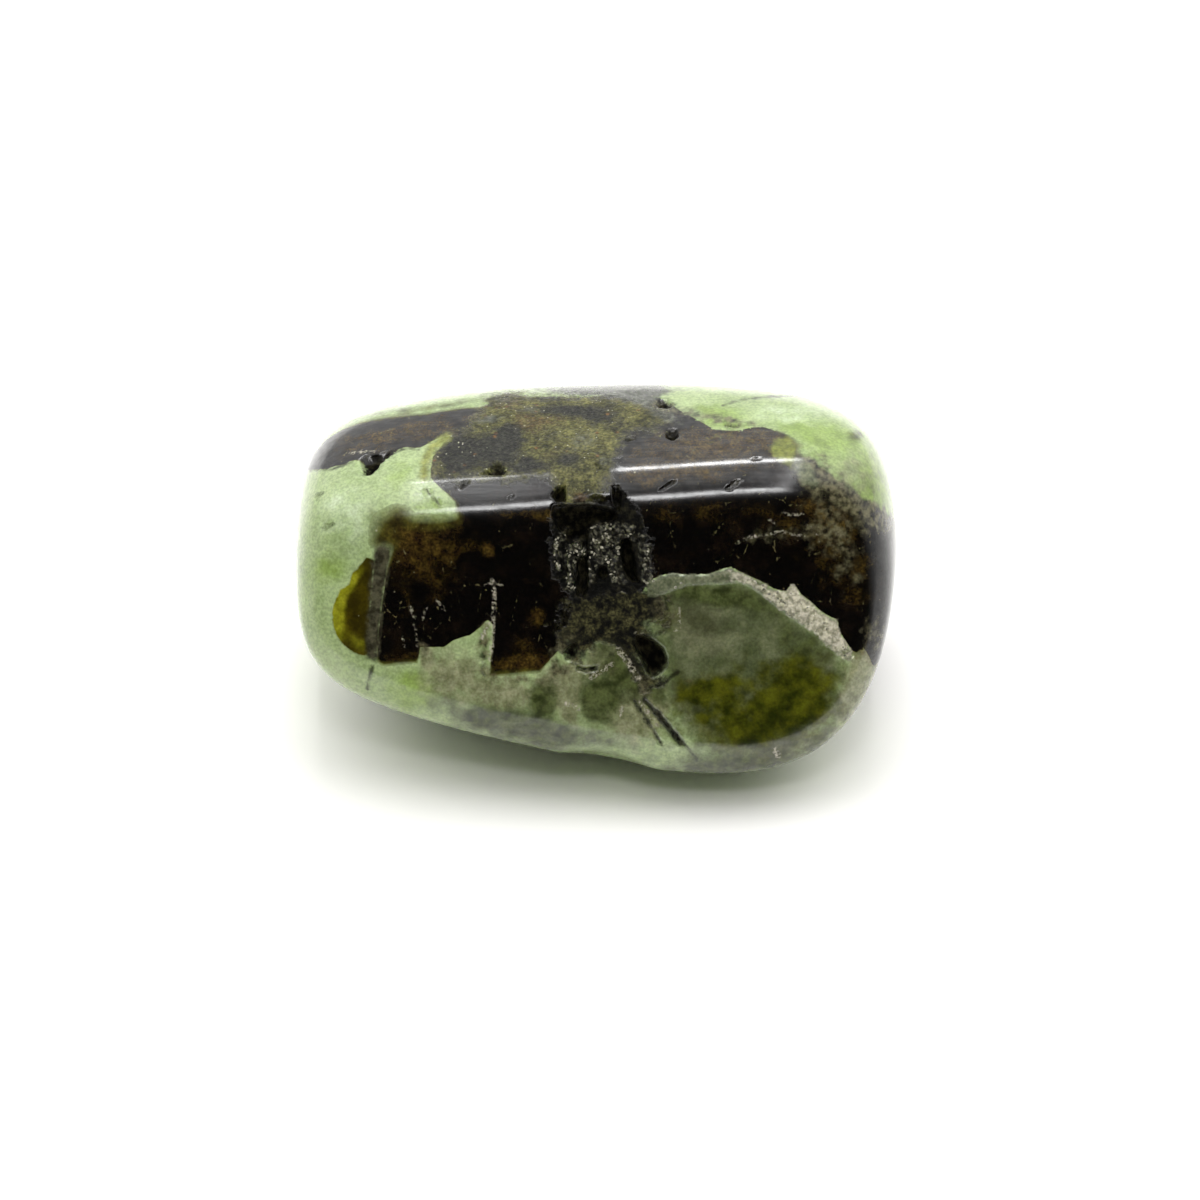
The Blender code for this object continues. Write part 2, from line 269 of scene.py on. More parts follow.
# Ridges that stand up inside the crevice: start, end, half width, height.
RIDGES = (
    ((-1.3, 1.5), (-1.28, -0.5), 0.22, 0.3), ((-0.85, 1.7), (-0.85, 1.1), 0.3, 0.2),
    ((-1.5, 2.35), (-2.05, 1.6), 0.14, 0.2), ((-2.05, 1.6), (-1.8, 0.4), 0.14, 0.2),
    ((2.3, 1.9), (2.6, -0.1), 0.28, 0.15), ((0.1, 2.3), (0.75, 0.9), 0.45, 0.25),
    ((0.9, 2.4), (1.7, 2.3), 0.3, 0.2),
)
# Thin marks: the points along each, and its half width.
LINES = {
    "pale_vein": (
        (((-5.2, -0.1), (-5.1, -0.8), (-5.15, -2.35), (-5.3, -4.1)), 0.09),
        (((-5.55, -0.35), (-5.1, -0.3), (-4.75, -0.35)), 0.06), (((-5.75, -3), (-5.4, -2.3)), 0.1),
        (((1.1, -3.6), (1.6, -4.2), (2.1, -5)), 0.16),
        (((-0.25, -5), (0.35, -4.6), (0.8, -4.3)), 0.1), (((1.1, -6.9), (1.35, -6.5)), 0.1),
        (((-1.5, -6.3), (-1.2, -6.4), (-0.9, -6.6)), 0.1), (((2.2, -6.2), (3.1, -7.5)), 0.09),
        (((1.95, -2.75), (2.45, -2.85)), 0.06), (((4.15, -1.5), (4.15, -2.6), (3.9, -2.65)), 0.05),
        (((7.6, 2), (8.5, 2.15), (9.2, 2.3), (9.6, 2.2)), 0.06), (((9.5, 2.2), (10.4, 2.1)), 0.05),
        (((9.3, 3.3), (9.8, 3.1), (10.4, 3.2)), 0.05), (((8.6, 2.9), (9, 2.7)), 0.05),
        (((10.6, 2.6), (11, 2.2), (11.1, 1.8)), 0.05), (((7, 1.7), (7.6, 2)), 0.04),
        (((-12.4, 6.2), (-11.7, 6.3), (-11, 6.3)), 0.05), (((8.9, -8.6), (9.1, -8.9)), 0.13),
        (((-9.7, -2.9), (-9.55, -3.6)), 0.04), (((-9.1, -2.3), (-8.95, -3.4)), 0.04),
        (((-9.35, -1.4), (-9.1, -2)), 0.06), (((-8.7, -2.1), (-8.5, -1.5)), 0.05),
        (((-8, -1.1), (-7.6, -1.6)), 0.04),
    ),
    "dark_line": (
        (((1.9, -6.2), (2.5, -7), (2.95, -7.75), (3.25, -8.35)), 0.06),
        (((2.4, -6.1), (2.95, -6.7)), 0.09), (((2.95, -6.7), (3.45, -7.3), (4.25, -8.25)), 0.17),
        (((4.2, -8.1), (5.05, -9.1)), 0.06), (((-11.2, -4.4), (-11.45, -5.6)), 0.09),
        (((6.3, 8.6), (7.2, 8.9), (8.7, 9.07), (9.95, 9.1)), 0.04),
        (((-8.5, 4.4), (-7.85, 3.65)), 0.05), (((-14.4, 5.35), (-13.1, 5.45), (-12.2, 5.8)), 0.06),
        (((-10.6, 5.95), (-9.9, 6.35), (-9.5, 6.45), (-8.9, 6.4)), 0.05),
        (((2.65, -5.5), (3.4, -5.25), (4.1, -4.7)), 0.09),
        (((0.4, -3.05), (1.1, -3.25), (1.6, -3.7), (1.9, -4.2), (2.2, -4.85)), 0.1),
        (((-1.5, -3.3), (-0.7, -3), (-0.3, -3)), 0.09),
    ),
    "olive_vein": (
        (((-7.45, 7), (-8.2, 6.55), (-8.55, 5.9), (-8.65, 5)), 0.2),
    ),
}
# Soft patches: U, V, half sizes, turn, strength.
PATCHES = {
    # Pale milky clouds in the host, and painted sheen on the bright cloud at the left, along the
    # left end and along the top and bottom edges.
    "milky_and_sheen": (
        (-12.6, 3.5, 1.5, 1.4, -30, 0.75), (-12, 1.6, 1, 1.8, 0, 0.3),
        (-14.9, 1.5, 0.4, 4.5, 0, 0.4), (-9.6, 9, 5, 0.5, 12, 1.2), (-3.4, 9.65, 4.5, 0.35, 0, 0.7),
        (9.8, 8.2, 3, 0.7, 0, 0.7), (12.6, 5.4, 1.4, 1.4, 0, 0.45), (4, -9.2, 2.4, 0.4, -8, 0.2),
    ),
    "fresh": (
        (11.6, 6.6, 2.8, 1.7, -30, 0.6), (13.8, 4.6, 1.2, 1.2, 0, 0.7),
        (-9.2, -5.7, 1.4, 1.3, 0, 1), (-13.4, 0.4, 1.2, 1, 0, 0.7), (-9.8, 5.2, 1.6, 0.7, 30, 0.6),
        (-8.4, 3.6, 0.9, 0.4, 0, 0.8), (6.3, 8, 1.6, 0.8, -15, 0.9),
        (10.6, 7.4, 2.2, 0.5, -15, 0.6), (13.2, 3.9, 1.4, 0.7, -30, 0.7),
        (-12.6, -4.8, 1.2, 0.9, 40, 0.3),
    ),
    "grey": (
        (-7.2, -4.9, 2, 1.5, 0, 0.9), (-4.4, -5.9, 1.4, 0.9, 0, 0.9),
        (-1.6, -5.2, 1.2, 0.9, 0, 1.3), (-1.4, -6.6, 0.6, 1, 0, 0.9), (-8.5, -4, 0.3, 0.5, 0, 0.8),
        (0.6, -3.9, 1.2, 0.8, 0, 1.2), (2.2, -6.6, 1.6, 1.9, -35, 1.2),
        (4.9, -1.9, 1.8, 1.3, 0, 0.8), (5.6, -3.6, 1.4, 1.2, 0, 0.5), (8.6, -9.1, 4, 0.8, 12, 0.9),
        (12.9, -5.6, 0.8, 2.4, -20, 1.1), (13.4, 2.6, 0.9, 0.7, 0, 0.9),
        (12.6, 5, 1.8, 1.8, 0, 0.6), (13.6, -4.6, 0.6, 0.8, 0, 1),
    ),
    # Darker green: partly the host's own deeper tone in and round the lenses, and partly painted
    # shade along the underside of the keel and the foot of the lens.
    "deep": (
        (-2.7, -6.1, 0.8, 0.9, 0, 0.8), (0.2, -6, 1.3, 1.3, 0, 0.85), (2.6, -5.2, 1.3, 1.5, 0, 0.7),
        (1.4, -3.2, 2.6, 1.6, 0, 0.8), (6.2, -0.9, 3.6, 0.7, -8, 1),
        (10.6, -3.8, 1.4, 1.5, -35, 0.6), (8.6, -3, 1.8, 1.2, 0, 0.4), (6.3, -6, 1, 0.6, 0, 0.4),
        (4.6, -7.4, 1.2, 1, 0, 0.5), (7.4, -9.1, 3.4, 0.8, 4, 0.65),
        (-6.5, -6.6, 3.5, 0.9, -12, 0.45), (-1, -7.7, 4, 0.8, -10, 0.3), (-5, -7, 2, 0.7, -12, 0.3),
        (-2, -7.9, 3, 0.5, -10, 0.4), (8, -4.8, 2.4, 0.9, 0, 0.3), (-4, -8.2, 5, 0.7, -9, 0.4),
        (6.6, -9.5, 4.5, 0.7, 6, 0.5), (11.4, -7.8, 1.6, 0.7, 50, 0.5),
        (13.9, 4.2, 1.4, 1.4, 0, 0.35), (11.8, 6.4, 2.4, 1.4, -30, 0.3),
    ),
    "vug": (
        (0.2, -2.1, 1.9, 0.8, 10, 1.2), (0.9, -1.3, 1.8, 0.5, 0, 1.6), (-0.9, -3.4, 1, 0.9, 0, 0.8),
        (1.6, -2.8, 1, 0.8, -30, 1.1), (2.6, -1.4, 0.6, 0.7, 0, 0.8),
        (3.4, -2.2, 0.5, 0.9, 0, 0.35), (1.9, -4.4, 0.4, 1.2, 30, 0.8), (3, -5.2, 1, 0.35, 20, 0.7),
    ),
    "olive": (
        (8, -6.6, 4, 2.3, 6, 0.9), (7.8, -7.9, 1.8, 0.8, 0, 0.4), (5, -5.8, 1.2, 0.8, 0, 0.6),
        (10.5, -5.4, 1.5, 2, 0, 0.6), (3.6, -2, 0.7, 0.8, 0, 0.6), (5.6, 8.6, 1.6, 0.8, -20, 0.25),
        (-11.5, 6.1, 0.7, 0.28, 5, 1.3), (12.9, 7.1, 0.5, 0.4, 0, 0.6),
        (12.1, 2.9, 0.6, 0.9, 10, 0.7), (-11.3, 3.2, 0.35, 0.8, 0, 0.4),
        (-14.3, 5.75, 0.4, 0.3, 0, 0.8), (-8.6, 8.5, 4, 0.22, 8, 0.6),
    ),
    "rust": (
        (-3.5, 7.7, 1, 0.7, 0, 0.55), (-1.8, 7.9, 1.4, 0.4, 0, 0.4), (-2.2, 6.2, 1.6, 0.6, 0, 0.35),
        (-4.3, 8.7, 0.9, 0.35, 0, 0.5), (-0.8, 4, 0.5, 0.3, 0, 0.8), (14.1, -3.9, 0.8, 0.5, 0, 0.9),
        (12.9, -3.6, 0.4, 0.4, 0, 0.6), (4.6, -5.2, 0.4, 0.25, 0, 0.5),
        (5.9, 8.1, 0.3, 0.2, 0, 0.6),
    ),
    "slate": (
        (-5.2, 6.4, 1.8, 1, 0, 1), (-7.1, 6, 0.9, 1.1, 0, 1), (0.2, 7.9, 1.3, 0.5, 0, 0.7),
        (-3.3, 5.6, 0.9, 0.4, 0, 0.8), (-2.2, 7.2, 0.7, 0.4, 0, 0.6), (-4.3, 7.2, 0.6, 0.5, 0, 0.9),
        (-1.6, 8.4, 2.2, 0.35, 0, 0.9), (-1.4, 5.9, 0.8, 0.6, 0, 0.8), (1.3, 5.4, 0.5, 1, 0, 1.2),
        (1.6, 7.2, 0.8, 0.5, 0, 0.6), (-2.9, 4.85, 0.8, 0.3, 0, 0.6),
    ),
    "lilac": (
        (0.2, 9.4, 3.2, 0.28, 0, 1.2), (-0.7, 6.9, 0.9, 0.6, 20, 0.6), (0.4, 5.9, 0.6, 0.5, 0, 0.5),
        (-3.4, 8.4, 0.8, 0.3, 0, 0.5), (2.2, 9.25, 1, 0.5, 0, 1.3), (-4.6, 8.9, 0.9, 0.4, 0, 0.5),
        (-5.4, 7.9, 0.7, 0.2, 10, 0.9), (3.4, 8.1, 1.1, 0.3, -25, 0.7),
    ),
    # Brown where light gets in the amphibole, and a painted haze round and under the ring highlight
    # on the right shoulder.
    "glow_and_haze": (
        (-5.4, 1.3, 0.3, 0.35, 0, 1), (-9.6, 1.8, 1.6, 1.4, 0, 0.8), (-10, 7.1, 4.4, 0.8, 10, 0.7),
        (-8.4, -0.2, 1.6, 1.4, 0, 0.3), (-3.6, -3.8, 1.6, 0.9, 0, 0.3),
        (-9.8, -2.4, 0.8, 1.4, 0, 0.22), (-2.9, -1.8, 0.5, 0.5, 0, 0.9),
        (-7.2, 1.8, 1.4, 1, 0, 0.45), (-3.4, -4.35, 1.6, 0.45, 0, 0.9),
        (-9.6, -4, 0.9, 0.35, 0, 0.6), (-2.5, 3.15, 2.6, 0.35, -3, 0.7),
        (11.9, 2.65, 0.9, 1, 0, 0.8), (10.6, 3.6, 1.2, 0.4, -20, 0.6), (10, 2.2, 2.2, 1, -10, 0.35),
        (11.8, 0.4, 1.2, 2.2, 15, 0.3), (13.2, 0.2, 1.2, 2.6, 0, 0.28),
        (9.35, 6.4, 0.5, 0.5, 0, 1.9), (6.2, 6.7, 3.2, 0.8, 3, 1.1), (4.4, 5.3, 3.6, 0.5, 3, 0.8),
        (5.4, 3.3, 2.6, 0.8, 0, 0.5), (2.4, 5.5, 0.8, 1.6, 0, 0.4),
    ),
    "window": (
        (9.35, 6.4, 0.5, 0.45, 0, 2.2), (9.9, 5.6, 0.5, 0.35, -40, 0.7),
        (6.2, 7, 1.2, 0.3, 10, 0.35),
    ),
    "frayed": (
        (4.5, 8.4, 2.4, 0.8, -25, 0.8), (8, 7.5, 2.5, 0.8, 0, 0.7), (10.6, 6, 1.2, 1.2, -40, 1),
        (13, 3.8, 2.2, 0.9, -28, 1), (-1, 9.1, 5, 0.5, 0, 0.8), (6, 0.3, 4, 0.5, 0, 0.5),
        (-0.6, -1.9, 1.6, 1.6, 45, 1), (-11.4, 6, 1.6, 0.4, 0, 0.5),
    ),
    "margin": (
        (-10.8, 2.6, 1, 1.3, 0, 1), (-8.6, 2.8, 2, 0.8, 0, 1), (-9.6, 8.3, 5, 0.3, 8, 0.5),
        (9.8, 6.4, 1, 0.8, 0, 0.5), (-3.6, -4.7, 2, 0.3, 0, 0.3), (-9.8, -4.3, 1.2, 0.3, 0, 0.3),
    ),
    "sugar": (
        (11.4, -2.5, 1.6, 0.8, -45, 1.4), (9.8, -1, 0.8, 0.7, -30, 1.6),
        (7.2, 0, 0.8, 0.3, -20, 0.8), (8.4, -0.8, 0.7, 0.4, -35, 0.7), (-5.1, -2, 0.4, 1.8, 0, 0.4),
    ),
    "bright_wing": (
        (-12.9, -1.7, 0.35, 1.5, -4, 1.2), (-12.2, -0.1, 0.35, 0.8, -30, 0.9),
        (-11.9, -3.3, 0.8, 0.4, -40, 0.6),
    ),
    "brushed": (
        (-5.6, 4.3, 2.9, 0.8, 0, 1),
    ),
    "mixed": (
        (10.9, 5.2, 1.2, 0.8, -50, 1), (12.6, 4, 1.9, 0.5, -28, 1), (14.4, 2.8, 1.2, 0.5, -25, 0.9),
        (11.7, 2.5, 1.2, 1.5, 10, 0.6), (8.9, 2.1, 1.8, 0.5, 0, 0.45), (12.8, 0.8, 1, 1.8, 0, 0.4),
        (14, -3, 0.8, 1, 0, 0.6), (6.4, 7.9, 2, 0.35, -12, 0.7), (3.4, 8.6, 1.2, 0.3, -20, 0.7),
        (-7.4, 6, 0.8, 1, 0, 0.4), (-1.6, -3.2, 1, 0.6, 45, 0.5), (-8.8, -3.8, 0.4, 0.7, 0, 0.6),
        (-5.6, -3.3, 0.35, 1.3, 0, 0.8), (-4, -5.1, 1.8, 0.28, -4, 0.5),
        (-1.9, -4.6, 0.7, 0.5, 45, 0.7), (0.2, -4.7, 1.1, 0.35, 15, 0.6),
        (2.4, -5.5, 0.5, 0.9, 30, 0.6), (3.3, -1.6, 0.7, 0.9, 0, 0.6),
    ),
    "dimmed": (
        (-4, -1, 7, 3.4, 0, 0.7), (8.4, 1.4, 5, 1.8, -8, 0.7), (14.6, -0.6, 1.2, 4.2, 0, 0.9),
        (-14.8, 0, 0.7, 5, 0, 0.6), (-10.4, 7.1, 5, 0.9, 10, 0.5), (-8.9, 3.2, 1.9, 0.7, 0, 1.2),
        (9.9, 4.9, 0.7, 1.1, 0, 1),
    ),
}

# The same for the far side, then its pits: U, V, radius, depth.
FAR_OUTLINES = {
    "amphibole": (
        (-16, 6.6), (-12, 6.9), (-8, 5.6), (-4, 5.5), (0, 4.3), (4, 4.9), (8, 4), (12, 3.9),
        (16.5, 2.5), (16.5, -5.2), (13, -4.2), (9.5, -3.9), (6, -2.2), (3, -2.6), (0, -0.4),
        (-3, 0.2), (-6, 2.6), (-9, 3.4), (-12, 4.7), (-16, 4.7),
    ),
    "rough": (
        (1, 8.6), (2.6, 8.2), (3.2, 5), (4.4, 1.6), (5.2, -1.4), (3.8, -1.8), (2.8, 1.2), (2, 4.6),
        (0.8, 7),
    ),
}
FAR_LINES = {
    "pale_vein": (
        (((-13.5, 2.6), (-10, 0.6), (-6.5, 0.4), (-3.6, -1.4), (0.4, -3)), 0.12),
        (((6.4, -4.6), (8.6, -6.4), (9.6, -8)), 0.14), (((4.6, 8.4), (7.4, 7.2), (11.2, 7)), 0.1),
    ),
    "dark_line": (
        (((-4, 8.9), (-6.4, 7.6), (-9.4, 7.2)), 0.09), (((6, 6.9), (8.2, 5.6), (9, 5.4)), 0.1),
        (((-1, -5.2), (2.2, -6.6), (4.4, -6.8)), 0.08),
    ),
}
FAR_PATCHES = {
    # Pale milky clouds, and painted sheen along the left end.
    "milky_and_sheen": (
        (-9, 8, 5, 1.2, 5, 1.2), (8, 7, 4, 1.2, -5, 1), (-11, -2, 2.4, 2.2, 0, 0.8),
        (10, -7, 3, 1.4, 0, 0.6), (2, -7.6, 4, 1, 0, 0.4), (-14.9, 1.5, 0.4, 4.5, 0, 0.4),
    ),
    "fresh": (
        (-6, -3, 3, 2, 0, 0.8), (4, 6.4, 3, 0.9, -10, 0.9), (-12.4, 1.4, 1.6, 1.4, 0, 0.9),
        (6.4, -7.4, 2.4, 0.9, 0, 0.8), (10.4, 6, 1.6, 1, 0, 0.6),
    ),
    "grey": (
        (-2, -6.4, 4, 2.2, 0, 0.9), (-8.6, 5.2, 2.6, 1.1, 15, 0.7), (6.4, 1, 2.4, 1, -10, 0.7),
        (-11.8, 0.4, 1.4, 2.2, 0, 0.6), (12, 5.4, 1.6, 1.2, 0, 0.7), (4, 7.6, 3, 1, 0, 0.6),
        (8.6, -5.4, 2, 1, 0, 0.6),
    ),
    "deep": (
        (-5.8, -3.6, 2.6, 1.4, 15, 1), (2, -4.6, 3, 1, 0, 0.8), (-11.6, -4.6, 2, 1.4, 30, 0.6),
        (-4.4, 2, 2, 0.8, 25, 0.4), (8.6, 2.4, 1.6, 0.6, 0, 0.4), (-1.6, -2, 1.4, 0.7, 0, 0.6),
        (8.2, 6, 2.4, 0.6, -8, 0.5), (-9, 7.2, 3, 0.5, 4, 0.5), (12.4, -6.4, 1.6, 1.2, 0, 0.7),
    ),
    "olive": (
        (-6, 1.4, 3, 1.4, 20, 0.9), (9, -5, 2.2, 1.6, 0, 1), (1, 6.4, 2, 1, 0, 0.6),
    ),
    "rust": (
        (3, 4, 1, 2.6, 15, 0.45),
    ),
    "slate": (
        (3, 2, 0.8, 3.4, 15, 0.9), (1.4, 8, 1, 0.8, 0, 0.7),
    ),
    "lilac": (
        (-1, 9, 3, 0.4, 0, 0.5),
    ),
    "glow_and_haze": (
        (9, 1, 2.4, 1.6, 0, 0.7), (-3, 3, 1.6, 1, 0, 0.8), (1.6, 1.6, 1.4, 1, 0, 0.6),
        (13.4, 0, 1.2, 2.6, 0, 0.5),
    ),
    "margin": (
        (2, -1.2, 6, 1.2, -20, 0.7), (-6, 2.4, 4, 1, 20, 0.6),
    ),
    "window": (
        (4, 2, 1.2, 0.7, 20, 0.8), (-9.4, 4.2, 1, 0.5, 0, 0.7),
    ),
    "frayed": (
        (0, 3, 20, 4, 0, 0.6),
    ),
    "mixed": (
        (9, 3.4, 3, 0.6, -10, 0.8), (3, -1.8, 3, 0.7, -20, 0.8), (-6, 2.4, 3, 0.6, 20, 0.6),
        (11, -3.8, 3, 0.6, -6, 0.8),
    ),
}
# The far pits are painted dark inside as well: partly their own colour, partly painted shade.
FAR_PITS = (
    (-4.6, 6.2, 0.4, 0.2), (6.8, 3.4, 0.3, 0.18), (-9.8, -0.8, 0.24, 0.14), (0.6, 0.4, 0.42, 0.2),
    (10.6, -1.2, 0.2, 0.14),
)
FAR_PIT_WALL = 0.8          # share of a pit's radius that is its wall
FAR_PIT_EDGE = 0.1          # how far inside a pit's edge its black starts
OUT_OF_REACH = -5.0         # stored where a mark is nowhere near

# How much farther than its outline a mark reaches, in millimetres.
GROWN = dict(strip=0.10, pocket=-0.06, nick=-0.04)
PATCH_FALL = 0.9            # how fast a soft patch fades outwards

# Ground that is left uneven, its grain, and the crystal crumbs that stand on
# the rim of the lens and in the crevice.
GRAIN = dict(height=0.05, size=0.32, detail=2.0)
GRAININESS = dict(rough=1.0, crevice=2.2, vug=1.4)
GRAIN_FADE = (-0.1, 0.3)
CRUMBS = dict(size=0.085, per_square_mm=55.0, seed=7)
CRUMB_STRETCH = ((0.35, 0.35, 0.35), (1.0, 1.0, 1.5))
CRUMB_COVER = dict(rim=0.02, sugar=0.14, crevice=0.6)
RIM_FADE = (0.0, 0.15)
CRUMB_FADE = (-0.05, 0.15)
CLUMPS = dict(size=0.35, start=3.3)
CLUMP_FADE = (-0.1, 0.35)
FULL_TURN = 2 * math.pi

# Noise lumps that mottle the tints and fray their edges, in millimetres.
LUMPS = dict(grain=0.14, sand=0.22, crumb=0.32, patch=0.5, cloud=0.9, bank=1.4, field=2.4)
CLOUD_DETAIL = 3.0
EDGE_GROUND = (37.0, 11.0, 23.0)    # where in the noise the edges are frayed from

# Tints: two colours as a screen shows them, 0 to 255, the lumps that mottle
# them, and the part of the noise in which the second takes over, if its own.
MOTTLE = (0.28, 0.72)
TINTS = {
    "prehnite": ((134, 152, 102), (158, 174, 126), "field"),
    "prehnite_fine": ((108, 128, 68), (172, 188, 136), "crumb"),
    # Pale milky green, also laid as painted sheen along the host's edges.
    "milky_and_sheen": ((152, 170, 122), (180, 194, 158), "cloud"),
    "fresh": ((118, 140, 68), (140, 162, 88), "cloud"),
    "grey": ((100, 104, 72), (140, 142, 108), "patch"),
    # Darker green, also laid as painted shade along the underside.
    "deep": ((41, 47, 20), (80, 88, 50), "patch"),
    "olive": ((30, 35, 3), (76, 78, 13), "cloud"),
    "vug": ((6, 6, 3), (64, 62, 38), "patch", 0.36, 0.66),
    "lens": ((54, 57, 34), (98, 100, 74), "bank", 0.32, 0.68),
    "small_lens": ((50, 56, 28), (88, 92, 62), "patch", 0.36, 0.64),
    "amphibole": ((3, 2, 1), (16, 10, 5), "cloud", 0.45, 0.75),
    # Brown of the amphibole, also laid as a painted haze round the ring highlight.
    "glow_and_haze": ((31, 20, 6), (66, 52, 17), "patch"),
    "margin": ((40, 32, 6), (84, 82, 30), "patch"),
    "strip": ((34, 32, 22), (76, 74, 56), "crumb"),
    "wing": ((35, 29, 2), (62, 55, 4), "cloud"),
    "bright_wing": ((104, 104, 14), (140, 140, 32), "patch"),
    "rough": ((34, 34, 12), (106, 104, 60), "bank", 0.36, 0.64),
    "rough_fine": ((34, 34, 12), (106, 104, 60), "crumb"),
    "rust": ((44, 30, 14), (92, 70, 44), "sand"),
    "slate": ((20, 20, 16), (50, 50, 42), "sand"),
    "lilac": ((54, 56, 45), (98, 100, 90), "crumb"),
    "crumbs": ((6, 6, 3), (96, 94, 76), "grain", 0.35, 0.7),
    "crevice": ((4, 4, 2), (40, 38, 26), "crumb", 0.45, 0.75),
    "rim": ((66, 72, 48), (108, 112, 86), "sand"),
    "sugar": ((112, 110, 90), (196, 190, 170), "sand"),
    "pale_vein": ((112, 110, 90), (196, 190, 170), "sand", 0.2, 0.9),
    "crystal": ((110, 108, 88), (190, 184, 164), "sand", 0.3, 0.7),
    "dim_crystal": ((34, 34, 22), (112, 110, 88), "crumb", 0.3, 0.7),
    "mixed": ((22, 20, 11), (104, 100, 74), "crumb", 0.32, 0.70),
    # The dark inside pockets, nicks and pits: partly their own colour, partly painted shade in the
    # hollow.
    "pocket": ((8, 7, 4), (56, 52, 36), "crumb", 0.4, 0.75),
    "tongue": ((62, 66, 46), (108, 112, 84), "crumb"),
    "window": ((78, 86, 18), (116, 122, 44), "crumb"),
    "olive_vein": ((98, 104, 42), (142, 148, 74), "crumb"),
}
CRACK_COLOUR = (72, 68, 44)
LINE_COLOUR = (26, 26, 14)
# Scattered spots: spacing, share of places that have one, reach, and colour.
SPOTS = {
    # Pale specks in the amphibole: partly its own grains, partly painted glints of crystal faces.
    "speck_and_glint": (0.34, 0.10, 0.16, (96, 88, 62)),
    "dark_speck": (0.30, 0.16, 0.4, (28, 24, 14)),
    "bright_speck": (0.20, 0.14, 0.30, (186, 184, 162)),
    "rust_spot": (0.50, 0.16, 0.32, (98, 68, 38)),
    "fleck": (0.9, 0.12, 0.09, (150, 150, 124)),
}
# How the edge of an outlined mark frays: lumps, how far it wanders, how soft it is.
EDGES = {
    "lens": ("patch", 0.14, 0.50), "small_lens": ("patch", 0.06, 0.20),
    "wing": ("crumb", 0.04, 0.06), "strip": ("crumb", 0.09, 0.16),
    "tongue": ("crumb", 0.07, 0.14), "rough": ("patch", 0.28, 0.45),
    "olive_vein": ("crumb", 0.07, 0.16), "crevice": ("crumb", 0.30, 0.15),
    "crumbs": ("sand", 0.12, 0.10), "rim": ("crumb", 0.10, 0.08),
    "pale_vein": ("sand", 0.06, 0.06), "dark_line": ("crumb", 0.05, 0.07),
    "pocket": ("sand", 0.14, 0.20),
}
# How a soft patch breaks up into clouds: lumps, and how much.
BREAKS = {
    "fresh": ("cloud", 0.45), "milky_and_sheen": ("cloud", 0.5),
    "grey": ("patch", 0.45), "deep": ("cloud", 0.45),
    "olive": ("cloud", 0.6), "rust": ("crumb", 0.45),
    "glow_and_haze": ("cloud", 0.6), "window": ("crumb", 0.45),
    "vug": ("patch", 0.8), "bright_wing": ("patch", 0.2),
    "mixed": ("patch", 0.7), "lilac": ("crumb", 0.45),
    "slate": ("crumb", 0.45), "sugar": ("crumb", 0.9),
}
SOCKET_KINDS = {"Place": "Vector", "Tint A": "Color", "Tint B": "Color"}
NOISE_MIDDLE = 0.5
WANDER_GAIN = 4.0
BREAK_GAIN = 2.0
PATCH_SHOWS = (0.02, 0.25)      # from where to where a patch's strength lets it show
PATCH_FILLS = (0.2, 0.9)        # the same for its strength and clouds together
SPECKS = (0.40, 0.62)           # part of the noise that breaks a mask into specks
SHADE = (0.3, 0.7)              # part of the noise that darkens and lightens grains

# The marks laid on the host, painted sheen and painted shade among them; and how strongly a mark
# covers what is under it, where that isn't fully.
HOST_TONES_AND_PAINTED_LIGHT = ("fresh", "milky_and_sheen", "grey", "lens", "small_lens", "deep", "olive")
FINE_SHARE = 0.22
ROUGH_FINE_SHARE = 0.5
RUST_IN_HOST = 0.7
COVER = dict(lens=0.88, small_lens=0.9, dark_line=0.85)
# Grain by grain, how much darker and lighter a finish gets.
SHADES = dict(amphibole=(0.5, 1.5), rough=(0.6, 1.4), vug=(0.3, 1.6), stone=(0.83, 1.17))
# A mark's strength as a distance in millimetres: times the first, plus the second.
FRAYED_WANDER = (0.16, 0.04)
MARGIN_DEPTH = (1.5, 0.06)
VEIL_DEPTH = (0.6, 0.04)
VEIL_LEAST = 0.35
AMPHIBOLE_SOFTNESS = 0.03
CRACKS = dict(spacing=1.1, squeeze=(1.0, 0.6, 0.6), uneven=0.25, line=(0.13, 0.10))
CRACKS_SHOW = (0.50, 0.62)

DULL_GROUND = ("rough", "crevice", "rim", "vug", "pocket")
ROUGHNESS = dict(polished=0.15, brushed=0.34, rough=0.55, broken=0.5, hole=1.0)
# The polish: how much of its shine is left where it is worn, in the streaks of
# the tumbler's grit, and where the stone mirrors the dark room.
WORN = (0.3, 0.6)
POLISH = (0.35, 0.75)
STREAKS = dict(width=0.14, squeeze=(0.08, 1.0, 1.0), least=0.55)
STREAK_SPAN = (0.38, 0.62)
DIMMING = 0.7
# Broken ground and pockets keep light in, as a dull dark metal would.
LIGHT_TRAP = dict(broken=0.8, pocket=0.85)
BUMP = dict(crumbs=0.10, pores=0.004, rim=0.1)
MINERAL_INDEX = 1.62
STONE_SHADER = {
    "IOR": MINERAL_INDEX,
    "Specular IOR Level": 0.25,
    "Coat IOR": MINERAL_INDEX,
    "Coat Roughness": 0.12,
    "Subsurface Weight": 1.0,
    "Subsurface Radius": (0.8, 1.0, 0.55),
    "Subsurface Scale": 0.5 * MM,
}
CRUMB_SHADER = {"Roughness": 0.35, "IOR": MINERAL_INDEX}
DIM_CRYSTALS = (0.42, 0.58)

FLOOR_SIZE = 3.0
FLOOR_SHADER = {
    "Base Color": (0.93, 0.92, 0.90, 1.0),
    "Roughness": 0.9,
    "Specular IOR Level": 0.1,
}
